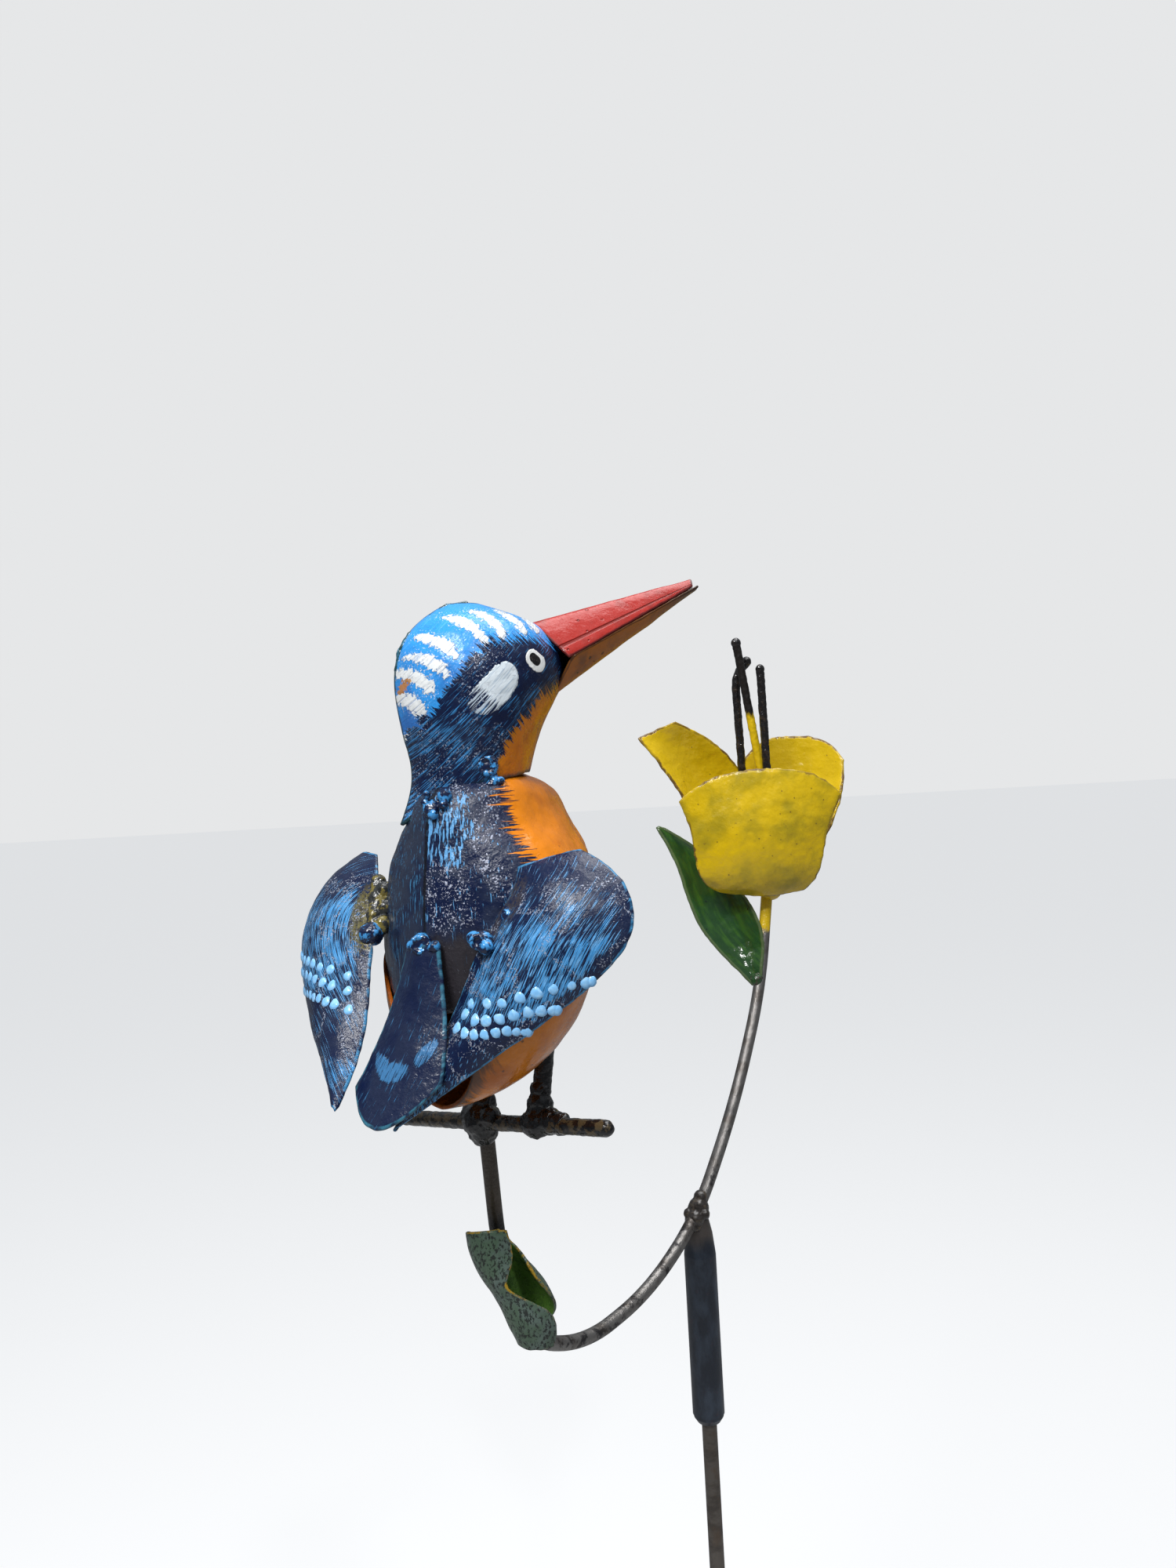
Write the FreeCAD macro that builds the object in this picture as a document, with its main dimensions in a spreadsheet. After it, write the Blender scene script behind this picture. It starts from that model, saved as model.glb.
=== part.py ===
"""Recycled-metal kingfisher on a garden stake, with a steel flower on the same bent rod.

Millimetres, +Z up.  The origin is the centre of the stake's lower, square-cut end.
The bird is drawn in its own frame (forward, left, up) from the perch between its feet,
the head in a second frame turned on the neck, and the flower in a third one.
"""
import FreeCAD
import Part
import Sketcher
import math
import os

Vector = FreeCAD.Vector
doc = FreeCAD.newDocument("kingfisher_stake")
os.makedirs("parts", exist_ok=True)

# ---------------------------------------------------------------- driving dimensions
SIZES = {
    "stake_diameter": 6.0,
    "stake_length": 440.0,
    "spigot_diameter": 5.6,
    "spigot_length": 70.0,
    "tube_diameter": 12.7,
    "tube_bore": 10.3,
    "tube_bottom": 443.6,
    "tube_length": 80.4,
    "tube_taper": 17.0,
    "tube_top_diameter": 7.0,
    "tube_shoulder_step": 0.95,
    "roof_gap": 0.4,
    "ring_length": 10.0,
    "ring_bore": 5.8,
    "ring_clearance": 0.1,
    "ring_lip": 3.2,
    "ring_foot_inset": 1.7,
    "ring_flange_inset": 0.4,
    "ring_chamfer_height": 2.0,
    "ring_seat_gap": 0.2,
    "arm_diameter": 5.0,
    "arm_plane_angle": 232.0,
    "sheet": 1.2,
    "bird_forward": 54.0,
    "head_forward": 20.0,
    "leg_diameter": 6.0,
    "perch_diameter": 5.2,
    "stamen_diameter": 3.8,
}
sheet = doc.addObject("Spreadsheet::Sheet", "Sizes")
for row_number, (name, value) in enumerate(SIZES.items(), start=1):
    sheet.set("A%d" % row_number, name)
    sheet.set("B%d" % row_number, str(value))
    sheet.setAlias("B%d" % row_number, name)
doc.recompute()


def size(name):
    """A driving dimension, read back from the sheet."""
    return float(getattr(sheet, name))


# ---------------------------------------------------------------- frames
FEET = Vector(-64.6, -103.0, 592.9)
NECK = Vector(-66.6, -105.4, 592.9)
FLOWER = Vector(44.3, 54.0, 643.5)
UP = Vector(0, 0, 1)
BIRD = FreeCAD.Placement(FEET, FreeCAD.Rotation(UP, size("bird_forward")))
HEAD = FreeCAD.Placement(NECK, FreeCAD.Rotation(UP, size("head_forward")))
BLOOM = FreeCAD.Placement(FLOWER, FreeCAD.Rotation())
WORLD = FreeCAD.Placement()

nodes = []


def keep(thing, node, placement=WORLD):
    """Give a finished sub-part its node name and its place."""
    thing.Label = node
    thing.Placement = placement
    nodes.append(thing)
    return thing


# ---------------------------------------------------------------- shape helpers
def between(stations, height):
    """Smooth value at a height, from (height, value, ...) stations in falling order."""
    last = len(stations) - 1
    i = 0
    while i < last - 1 and height < stations[i + 1][0]:
        i += 1
    before, start = stations[max(i - 1, 0)], stations[i]
    end, after = stations[i + 1], stations[min(i + 2, last)]
    part = (start[0] - height) / (start[0] - end[0])
    values = []
    for a, b, c, d in zip(before[1:], start[1:], end[1:], after[1:]):
        values.append(0.5 * (2 * b + (c - a) * part
                             + (2 * a - 5 * b + 4 * c - d) * part ** 2
                             + (3 * b - a - 3 * c + d) * part ** 3))
    return values


def normals(grid):
    """Unit normals of a grid of points, from its neighbours along and across."""
    result = []
    rows, columns = len(grid), len(grid[0])
    for i in range(rows):
        line = []
        for j in range(columns):
            along = grid[min(i + 1, rows - 1)][j] - grid[max(i - 1, 0)][j]
            across = grid[i][min(j + 1, columns - 1)] - grid[i][max(j - 1, 0)]
            line.append(along.cross(across).normalize())
        result.append(line)
    return result


def clamped_knots(count, degree):
    """Multiplicities and knots of a clamped, evenly spaced spline with this many poles."""
    spans = count - degree
    return [degree + 1] + [1] * (spans - 1) + [degree + 1], list(range(spans + 1))


def smooth_face(poles, row_degree=3, column_degree=3):
    """Smooth face drawn towards a grid of poles and reaching its border."""
    row_mults, row_knots = clamped_knots(len(poles), row_degree)
    column_mults, column_knots = clamped_knots(len(poles[0]), column_degree)
    surface = Part.BSplineSurface()
    surface.buildFromPolesMultsKnots(poles, row_mults, column_mults, row_knots, column_knots,
                                     False, False, row_degree, column_degree)
    return surface.toShape()


def bent_sheet(grid, thickness):
    """Closed solid of a formed metal sheet whose outer face follows the grid."""
    inner = []
    for points, directions in zip(grid, normals(grid)):
        inner.append([p - d * thickness for p, d in zip(points, directions)])
    faces = [smooth_face(grid), smooth_face(inner)]
    for i in (0, -1):
        faces.append(smooth_face([grid[i], inner[i]], row_degree=1))
        side = [[row[i] for row in grid], [row[i] for row in inner]]
        faces.append(smooth_face(side, row_degree=1))
    skin = Part.makeCompound(faces)
    skin.sewShape(0.01)
    solid = Part.Solid(skin.Shells[0])
    if solid.Volume < 0:
        solid.reverse()
    return solid


def sheet_node(node, grid, placement, thickness=None):
    """Node made of one formed sheet."""
    feature = doc.addObject("Part::Feature", node)
    feature.Shape = bent_sheet(grid, thickness or size("sheet"))
    return keep(feature, node, placement)


def strip(left_edge, right_edge, bulge, arch=None, roundness=0.5, columns=8):
    """Grid of a strip between two edges, domed by the bulge and ended by the arch."""
    grid = []
    count = len(left_edge)
    for i in range(count):
        left, right = Vector(*left_edge[i]), Vector(*right_edge[i])
        ahead = Vector(*left_edge[min(i + 1, count - 1)]) + Vector(*right_edge[min(i + 1, count - 1)])
        behind = Vector(*left_edge[max(i - 1, 0)]) + Vector(*right_edge[max(i - 1, 0)])
        onward = (ahead - behind).normalize()
        normal = onward.cross(right - left).normalize()
        row = []
        for j in range(columns + 1):
            part = j / columns
            dome = 4 * part * (1 - part)
            lift = arch[i] * dome ** roundness if arch else 0.0
            row.append(left + (right - left) * part + normal * (bulge[i] * dome) + onward * lift)
        grid.append(row)
    return grid


def rounded_path(points, share=0.47):
    """Wire of straight runs joined by tangent arcs, as large as the runs allow."""
    edges = []
    start = points[0]
    for before, corner, after in zip(points, points[1:], points[2:]):
        to_before, to_after = (before - corner), (after - corner)
        reach = share * min(to_before.Length, to_after.Length)
        first = corner + to_before.normalize() * reach
        last = corner + to_after.normalize() * reach
        half_turn = (math.pi - to_before.getAngle(to_after)) / 2
        radius = reach / math.tan(half_turn)
        inward = (to_before + to_after).normalize()
        middle = corner + inward * (radius / math.cos(half_turn) - radius)
        edges.append(Part.LineSegment(start, first).toShape())
        edges.append(Part.Arc(first, middle, last).toShape())
        start = last
    edges.append(Part.LineSegment(start, points[-1]).toShape())
    return Part.Wire(edges)


def swept_rod(node, points, diameter, placement=WORLD):
    """Round rod along a path of straight runs and arcs, bound to a diameter in the sheet."""
    path = doc.addObject("Part::Feature", node + "_path")
    path.Shape = rounded_path(points)
    profile = doc.addObject("Part::Circle", node + "_profile")
    profile.setExpression("Radius", "Sizes.%s / 2" % diameter)
    direction = points[1] - points[0]
    profile.Placement = FreeCAD.Placement(points[0], FreeCAD.Rotation(UP, direction))
    rod = doc.addObject("Part::Sweep", node)
    rod.Sections = [profile]
    rod.Spine = (path, ["Edge%d" % (i + 1) for i in range(len(path.Shape.Edges))])
    rod.Solid = True
    rod.Frenet = False
    return keep(rod, node, placement)


def straight_rod(node, start, end, diameter, placement=WORLD):
    """Round rod between two points, as a cylinder bound to a diameter in the sheet."""
    start, end = Vector(*start), Vector(*end)
    rod = doc.addObject("Part::Cylinder", node)
    rod.setExpression("Radius", "Sizes.%s / 2" % diameter)
    rod.Height = (end - start).Length
    local = FreeCAD.Placement(start, FreeCAD.Rotation(UP, end - start))
    return keep(rod, node, placement.multiply(local))


def weld_beads(node, beads, placement=WORLD):
    """Lumps of weld metal: one sphere for each (x, y, z, radius), fused where they meet."""
    centres = [Vector(*bead[:3]) for bead in beads]
    run = centres[-1] - centres[0] if len(beads) > 1 else UP
    shape = None
    for centre, bead in zip(centres, beads):
        sphere = Part.makeSphere(bead[3], centre, run)
        shape = shape.fuse(sphere) if shape else sphere
    feature = doc.addObject("Part::Feature", node)
    feature.Shape = shape
    return keep(feature, node, placement)


def turned(node, corners, expressions):
    """PartDesign body turned about Z from a closed outline of (radius, height) corners."""
    body = doc.addObject("PartDesign::Body", node)
    sketch = body.newObject("Sketcher::SketchObject", node + "_outline")
    plane = [p for p in body.Origin.OriginFeatures if p.Role == "XZ_Plane"][0]
    sketch.AttachmentSupport = [(plane, "")]
    sketch.MapMode = "FlatFace"
    count = len(corners)
    for i, (radius, height) in enumerate(corners):
        next_radius, next_height = corners[(i + 1) % count]
        line = Part.LineSegment(Vector(radius, height, 0), Vector(next_radius, next_height, 0))
        sketch.addGeometry(line, False)
    for i in range(count):
        sketch.addConstraint(Sketcher.Constraint("Coincident", i, 2, (i + 1) % count, 1))
    for i, (radius_rule, height_rule) in enumerate(expressions):
        if radius_rule == "0":
            sketch.addConstraint(Sketcher.Constraint("PointOnObject", i, 1, -2))
        else:
            number = sketch.addConstraint(Sketcher.Constraint("DistanceX", -1, 1, i, 1, corners[i][0]))
            sketch.setExpression("Constraints[%d]" % number, radius_rule)
        if height_rule == "0":
            sketch.addConstraint(Sketcher.Constraint("PointOnObject", i, 1, -1))
        else:
            number = sketch.addConstraint(Sketcher.Constraint("DistanceY", -1, 1, i, 1, corners[i][1]))
            sketch.setExpression("Constraints[%d]" % number, height_rule)
    revolution = body.newObject("PartDesign::Revolution", node + "_turned")
    revolution.Profile = sketch
    revolution.ReferenceAxis = (sketch, ["V_Axis"])
    revolution.Angle = 360
    body.Tip = revolution
    return keep(body, node)


# ---------------------------------------------------------------- stake and socket
def stake():
    """Round ground rod with a slightly slimmer spigot that the tube drops over."""
    turned("ground_rod",
           [(0, 0), (3.0, 0), (3.0, 440), (2.8, 440), (2.8, 510), (0, 510)],
           [("0", "0"),
            ("Sizes.stake_diameter / 2", "0"),
            ("Sizes.stake_diameter / 2", "Sizes.stake_length"),
            ("Sizes.spigot_diameter / 2", "Sizes.stake_length"),
            ("Sizes.spigot_diameter / 2", "Sizes.stake_length + Sizes.spigot_length"),
            ("0", "Sizes.stake_length + Sizes.spigot_length")])


def guide_ring():
    """Loose steel ring that centres the spigot in the tube's mouth."""
    inside = "Sizes.ring_bore / 2"
    body = "Sizes.tube_bore / 2 - Sizes.ring_clearance"
    foot = "Sizes.tube_diameter / 2 - Sizes.ring_foot_inset"
    flange = "Sizes.tube_diameter / 2 - Sizes.ring_flange_inset"
    bottom = "Sizes.tube_bottom - Sizes.ring_lip"
    seat = "Sizes.tube_bottom - Sizes.ring_seat_gap"
    turned("mouth_ring",
           [(2.9, 440.4), (4.65, 440.4), (5.95, 442.4), (5.95, 443.4), (5.05, 443.4),
            (5.05, 450.4), (2.9, 450.4)],
           [(inside, bottom),
            (foot, bottom),
            (flange, bottom + " + Sizes.ring_chamfer_height"),
            (flange, seat),
            (body, seat),
            (body, bottom + " + Sizes.ring_length"),
            (inside, bottom + " + Sizes.ring_length")])


def socket():
    """Tube closed and drawn in at its top, where the arm crosses it."""
    bore = "Sizes.tube_bore / 2"
    outside = "Sizes.tube_diameter / 2"
    top = "Sizes.tube_bottom + Sizes.tube_length"
    roof = "Sizes.stake_length + Sizes.spigot_length + Sizes.roof_gap"
    turned("socket_tube",
           [(5.15, 443.6), (6.35, 443.6), (6.35, 507), (5.4, 516), (3.5, 524), (0, 524),
            (0, 510.4), (5.15, 510.4)],
           [(bore, "Sizes.tube_bottom"),
            (outside, "Sizes.tube_bottom"),
            (outside, top + " - Sizes.tube_taper"),
            (outside + " - Sizes.tube_shoulder_step", top + " - Sizes.tube_taper / 2"),
            ("Sizes.tube_top_diameter / 2", top),
            ("0", top),
            ("0", roof),
            (bore, roof)])


# ---------------------------------------------------------------- arm, perch and legs
ARM_COURSE = [(-69.5, 644.5), (-59.0, 603.0), (-32.5, 559.0), (1.0, 521.5), (36.0, 505.0),
              (75.0, 501.5), (105.5, 514.5), (115.5, 546.0), (118.5, 587.0)]


def arm():
    """One rod bent in an upright plane, from the flower down, round and up to the perch."""
    angle = math.radians(size("arm_plane_angle"))
    along = Vector(math.cos(angle), math.sin(angle), 0)
    points = [along * reach + UP * height for reach, height in ARM_COURSE]
    swept_rod("arm_rod", points, "arm_diameter")


def perch():
    """Cross rod under the feet, melted to a dome at its right-hand end."""
    rod = straight_rod("perch_bar", (0, 45, -4.2), (0, -37.0, 2.6), "perch_diameter", BIRD)
    nodes.remove(rod)
    dome = doc.addObject("Part::Sphere", "perch_dome")
    dome.setExpression("Radius", "Sizes.perch_diameter / 2")
    dome.Placement = BIRD.multiply(FreeCAD.Placement(Vector(0, -37.0, 2.6), FreeCAD.Rotation()))
    whole = doc.addObject("Part::Fuse", "perch_rod")
    whole.Base = rod
    whole.Tool = dome
    keep(whole, "perch_rod")


def perch_and_legs():
    """Perch with one domed end, two legs and the weld metal that makes the feet."""
    perch()
    straight_rod("right_leg", (2.0, -10.5, 2.5), (6.5, -11.5, 27), "leg_diameter", BIRD)
    straight_rod("left_leg", (1.5, 11.5, 2.5), (6.0, 12.0, 27), "leg_diameter", BIRD)
    weld_beads("right_foot", [(0.5, -10.5, 0.8, 4.8), (1.5, -15.0, 1.6, 4.3),
                              (1.0, -19.5, 1.6, 3.6)], BIRD)
    weld_beads("left_foot", [(0, 12.0, -0.8, 6.0), (0.5, 11.5, -4.0, 5.0),
                             (0.5, 15.5, 0.2, 4.2)], BIRD)


# ---------------------------------------------------------------- bird's body
# height, back, breast, half width
TORSO = [(109.5, -13.0, 9.0, 9.0), (107.5, -21.0, 18.0, 15.5), (104.0, -26.0, 28.5, 18.6),
         (99.0, -28.6, 34.0, 19.8), (93.5, -29.8, 37.5, 22.6), (84.0, -31.0, 40.5, 30.0),
         (72.0, -32.5, 42.5, 34.5), (58.0, -33.0, 43.5, 35.5), (46.0, -33.0, 40.0, 34.0),
         (34.0, -32.5, 35.0, 31.0)]
TORSO_WIDEST = -9.0
TORSO_TOP = 109.5
FLANK_EDGE = 58.5
FLAP_EDGE = 40.0


BACK_CREASE = 1.2
FRONT_CREASE = 1.7


def section_point(widest, back, front, half_width, angle):
    """Point of a half section with a crease at the back and at the front."""
    behind = angle < math.pi / 2
    reach = widest - back if behind else front - widest
    sharpness = BACK_CREASE if behind else FRONT_CREASE
    return widest - reach * math.cos(angle), half_width * math.sin(angle) ** sharpness


def torso_grid(side):
    """Outer face of one half of the back and breast, with its flap down over the rump."""
    grid = []
    turns, levels = 12, 11
    for i in range(turns + 1):
        angle = math.pi * i / turns
        flap = max(0.0, math.cos(angle)) ** 0.5
        bottom = FLANK_EDGE + (FLAP_EDGE - FLANK_EDGE) * flap
        column = []
        for j in range(levels + 1):
            height = TORSO_TOP + (bottom - TORSO_TOP) * (j / levels) ** 1.5
            back, front, half_width = between(TORSO, height)
            u, v = section_point(TORSO_WIDEST, back, front, half_width, angle)
            column.append(Vector(u, side * v, height))
        grid.append(column)
    return grid if side > 0 else [list(reversed(column)) for column in grid]


# forward, half width at the rim, keel height, rim height
HULL = [(-29.5, 15.0, 12.6, 34.0), (-24.0, 27.0, 12.0, 49.0), (-15.0, 34.0, 12.8, 58.0),
        (-4.0, 34.6, 15.5, 58.0), (7.0, 30.5, 19.5, 58.0), (17.0, 23.5, 24.5, 58.0),
        (26.0, 16.0, 31.0, 58.0), (34.0, 8.5, 40.0, 58.0), (39.5, 2.6, 49.0, 58.0)]


def belly_grid(side):
    """Outer face of one half of the belly, from the rim down to the keel."""
    grid = []
    turns = 9
    for forward, half_width, keel, rim in HULL:
        row = []
        for j in range(turns + 1):
            angle = math.pi / 2 * j / turns
            v = half_width * math.cos(angle)
            w = rim - (rim - keel) * math.sin(angle) ** 1.1
            row.append(Vector(forward, side * v, w))
        grid.append(row)
    return grid if side < 0 else [list(reversed(row)) for row in grid]


def body_shells():
    """Back-and-breast halves meeting on the spine, and belly halves meeting on the keel."""
    sheet_node("body_left_half", torso_grid(1), BIRD)
    sheet_node("body_right_half", torso_grid(-1), BIRD)
    sheet_node("belly_left_half", belly_grid(1), BIRD)
    sheet_node("belly_right_half", belly_grid(-1), BIRD)


# ---------------------------------------------------------------- head and beak
# height, nape, face, half width
SKULL = [(161.5, -9.0, 2.0, 3.0), (158.5, -15.0, 14.0, 10.5), (153.0, -21.5, 23.5, 17.0),
         (143.0, -25.6, 29.5, 21.3), (133.0, -26.2, 26.0, 22.5), (124.0, -24.8, 20.5, 21.8),
         (116.0, -23.2, 17.3, 20.0), (108.5, -21.4, 15.2, 18.3), (103.0, -23.0, 15.0, 18.2),
         (95.0, -26.6, 15.0, 18.2)]
SKULL_WIDEST = -2.0
SKULL_TOP = 161.5
COLLAR_EDGE = 106.5
NAPE_EDGE = 95.0


def skull_grid(side):
    """Outer face of one half of the head, longer at the nape than at the throat."""
    grid = []
    turns, levels = 12, 11
    for i in range(turns + 1):
        angle = math.pi * i / turns
        bottom = COLLAR_EDGE + (NAPE_EDGE - COLLAR_EDGE) * max(0.0, math.cos(angle)) ** 1.8
        bottom += 2.5 * max(0.0, -math.cos(angle))
        column = []
        for j in range(levels + 1):
            height = SKULL_TOP + (bottom - SKULL_TOP) * (j / levels) ** 1.4
            nape, face, half_width = between(SKULL, height)
            u, v = section_point(SKULL_WIDEST, nape, face, half_width, angle)
            column.append(Vector(u, side * v, height))
        grid.append(column)
    return grid if side > 0 else [list(reversed(column)) for column in grid]


def beak_grid(ridge_root, ridge_tip, edge_root, edge_tip, half_root, half_tip, fullness):
    """Outer face of a folded half of the beak: edge, ridge, edge, from root to tip."""
    grid = []
    lengths, turns = 8, 8
    for i in range(lengths + 1):
        part = i / lengths
        ridge = Vector(*ridge_root) * (1 - part) + Vector(*ridge_tip) * part
        edge = Vector(*edge_root) * (1 - part) + Vector(*edge_tip) * part
        half = half_root + (half_tip - half_root) * part
        row = []
        for j in range(turns + 1):
            across = 2 * j / turns - 1
            rise = 1 - abs(across) ** fullness
            point = edge + (ridge - edge) * rise
            row.append(point + Vector(0, half * across, 0))
        grid.append(row)
    return grid


def head_parts():
    """Two head halves and the folded upper and lower beak."""
    sheet_node("head_left_half", skull_grid(1), HEAD)
    sheet_node("head_right_half", skull_grid(-1), HEAD)
    upper = beak_grid((17.8, 0, 156.0), (74.2, 0, 169.8), (27.0, 0, 143.9), (73.8, 0, 167.3),
                      9.5, 2.3, 1.7)
    lower = beak_grid((24.0, 0, 132.0), (75.6, 0, 165.8), (28.5, 0, 143.6), (76.0, 0, 166.8),
                      9.0, 2.1, 1.6)
    sheet_node("upper_beak", upper, HEAD, 0.8)
    sheet_node("lower_beak", [list(reversed(row)) for row in lower], HEAD, 0.8)


# ---------------------------------------------------------------- wings and tail
WING_INNER = [(-15.0, 37.0, 85.0), (-20.5, 31.0, 79.5), (-27.5, 26.2, 71.5), (-32.0, 23.4, 61.0),
              (-36.5, 21.0, 48.0), (-41.5, 17.5, 36.5), (-50.0, 14.5, 25.5), (-58.5, 13.0, 17.5)]
WING_OUTER = [(-12.5, 46.0, 85.5), (-12.5, 58.5, 80.5), (-15.0, 66.5, 70.5), (-20.5, 67.5, 60.5),
              (-28.5, 60.5, 50.0), (-38.5, 46.5, 39.0), (-48.5, 30.0, 28.0), (-58.0, 15.0, 18.0)]
WING_BULGE = [1.0, 4.0, 7.0, 8.0, 7.0, 5.0, 2.5, 0.4]

# the right wing's inner edge reaches up the shoulder, with a corner bent against the back
RIGHT_ROOT = [(-21.6, -27.2, 81.5), (-22.9, -27.4, 77.5), (-25.4, -24.6, 71.0), (-29.3, -18.2, 61.0)]

TAIL_LEFT = [(-34.6, 5.5, 60.0), (-35.4, 7.5, 52.5), (-38.8, 10.0, 40.0), (-43.8, 12.6, 29.5),
             (-49.0, 15.0, 21.0)]
TAIL_RIGHT = [(-34.8, -6.5, 60.0), (-35.6, -8.0, 52.5), (-37.8, -11.0, 40.0), (-41.0, -13.2, 31.5),
              (-44.2, -13.8, 23.5)]
TAIL_BULGE = [1.5, 2.0, 2.5, 2.8, 2.0]
TAIL_ARCH = [0.0, 0.0, 0.0, 3.0, 12.5]


def swung_in(points):
    """The left wing's points on the bird's right, the tip drawn in and down behind the tail."""
    last = len(points) - 1
    return [(u + 12.0 * (i / last) ** 2, 3.5 + 12.5 * (i / last) ** 2 - v, w - 7.5 * (i / last) ** 4)
            for i, (u, v, w) in enumerate(points)]


def wings_and_tail():
    """Domed wing sheets welded at their roots, and the flared tail strip."""
    bulge_out = [-b for b in WING_BULGE]
    left = strip(WING_INNER, WING_OUTER, bulge_out)
    right_inner = RIGHT_ROOT + swung_in(WING_INNER)[len(RIGHT_ROOT):]
    right = strip(swung_in(WING_OUTER), right_inner, bulge_out)
    sheet_node("left_wing", [list(reversed(row)) for row in left], BIRD)
    sheet_node("right_wing", [list(reversed(row)) for row in right], BIRD)
    tail = strip(TAIL_LEFT, TAIL_RIGHT, TAIL_BULGE, TAIL_ARCH, 1.0)
    sheet_node("tail", tail, BIRD)


def body_welds():
    """Weld metal that holds wings, tail and head to the body."""
    weld_beads("left_wing_weld", [(-29.8, 25.0, 62.0, 3.6), (-27.0, 26.4, 67.0, 3.2),
                                  (-24.2, 27.9, 72.0, 3.2), (-21.6, 29.6, 76.8, 2.8)], BIRD)
    weld_beads("right_wing_weld", [(-31.5, -21.0, 61.5, 3.4), (-25.5, -27.0, 68.0, 3.2)], BIRD)
    weld_beads("tail_weld", [(-33.6, 0.5, 60.5, 3.6), (-33.4, -3.0, 58.5, 2.8)], BIRD)
    weld_beads("neck_weld_right", [(-3.0, -17.4, 111.0, 2.9), (-1.5, -18.0, 106.0, 2.4)], HEAD)
    weld_beads("neck_weld_back", [(-27.8, -1.0, 99.0, 3.4), (-26.0, -4.5, 102.5, 2.6)], BIRD)
    weld_beads("neck_weld_left", [(-4.0, 17.8, 107.5, 2.8)], HEAD)


# ---------------------------------------------------------------- flower and leaves
def flower():
    """Three bent petals round the rod's upper end, with three stamens."""
    weld_beads("flower_base", [(0, 0, 2.0, 5.0), (0, 1.0, 6.0, 4.2), (-3.0, -7.6, 4.6, 3.9),
                               (-6.2, 4.6, 5.6, 3.2), (4.0, 6.2, 5.2, 4.0)], BLOOM)
    front_left = [(-24.0, -8.0, 3.0), (-31.0, -12.0, 5.5), (-33.8, -13.5, 16.0),
                  (-34.3, -13.5, 27.0), (-36.0, -12.5, 36.0), (-39.0, -12.0, 43.5)]
    front_right = [(13.5, -7.0, 1.5), (19.0, -10.5, 5.5), (21.5, -12.0, 16.0),
                   (24.0, -12.0, 27.0), (27.5, -11.0, 36.0), (31.5, -10.0, 43.0)]
    sheet_node("front_petal", strip(front_right, front_left, [3.0, 5.0, 7.5, 8.5, 8.5, 7.0],
                                    [0.0, 0.0, 0.0, 2.0, 6.0, 11.5]), BLOOM)
    left_low = [(-7.0, 1.0, 2.0), (-19.0, 1.5, 12.0), (-28.5, 1.0, 27.0), (-35.5, 1.0, 42.0),
                (-43.0, 1.0, 56.5), (-55.0, 1.0, 72.0)]
    left_high = [(-1.0, 9.0, 2.5), (-1.0, 14.0, 15.0), (-2.0, 15.0, 35.0), (-8.0, 13.0, 57.0),
                 (-21.5, 9.0, 71.0), (-38.0, 4.0, 79.0)]
    sheet_node("left_petal", strip(left_low, left_high, [2.0, 5.0, 7.0, 7.0, 5.0, 1.5]), BLOOM)
    back_low = [(2.0, 9.0, 2.0), (-3.0, 19.0, 12.0), (-6.0, 26.0, 30.0), (-6.5, 28.0, 49.0),
                (-5.0, 28.0, 61.0)]
    back_high = [(8.0, 3.0, 2.0), (20.0, 5.0, 12.0), (31.0, 7.0, 28.0), (37.5, 11.0, 43.0),
                 (39.0, 15.0, 58.0)]
    sheet_node("back_petal", strip(back_low, back_high, [2.0, 6.0, 8.0, 9.0, 7.0],
                                   [0.0, 0.0, 0.0, 4.0, 12.0]), BLOOM)
    straight_rod("long_stamen", (5.4, 1.0, 6.0), (-9.3, 0.5, 112.5), "stamen_diameter", BLOOM)
    straight_rod("short_stamen", (1.5, -3.0, 6.0), (0.3, -3.0, 100.0), "stamen_diameter", BLOOM)
    weld_beads("stamen_tips", [(-9.3, 0.5, 112.5, 2.3), (0.3, -3.0, 100.0, 2.1),
                               (-4.2, 6.5, 104.5, 2.3)], BLOOM)
    hook = [Vector(-8.0, 6.0, 7.0), Vector(-9.6, 6.5, 92.0), Vector(-8.3, 6.5, 99.5),
            Vector(-4.2, 6.5, 104.0)]
    swept_rod("hooked_stamen", hook, "stamen_diameter", BLOOM)


def leaves():
    """Broad upper leaf on the flower's stem and a rolled lower leaf on the arm's bend."""
    upper_edge = [(-7.5, -9.5, -36.5), (-5.5, -6.5, -26.0), (-4.5, -4.5, -16.5), (-8.5, -2.0, -5.5),
                  (-14.5, 0.5, 4.5), (-31.5, 3.0, 24.0), (-47.5, 4.0, 32.5)]
    lower_edge = [(-12.0, -9.0, -38.5), (-22.5, -6.5, -26.5), (-29.5, -4.5, -18.5),
                  (-35.5, -2.5, -7.5), (-38.5, -1.0, 6.0), (-43.0, 1.5, 21.5), (-49.0, 3.5, 31.5)]
    bulge = [1.0, 3.0, 4.0, 4.0, 3.5, 2.0, 0.3]
    sheet_node("upper_leaf", strip(lower_edge, upper_edge, bulge), BLOOM)
    sheet_node("lower_leaf", rolled_leaf_grid(), WORLD, 1.0)
    weld_beads("upper_leaf_weld", [(-9.5, -8.0, -36.5, 3.2)], BLOOM)
    weld_beads("lower_leaf_weld", [(-70.2, -93.8, 546.0, 3.2)])


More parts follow.
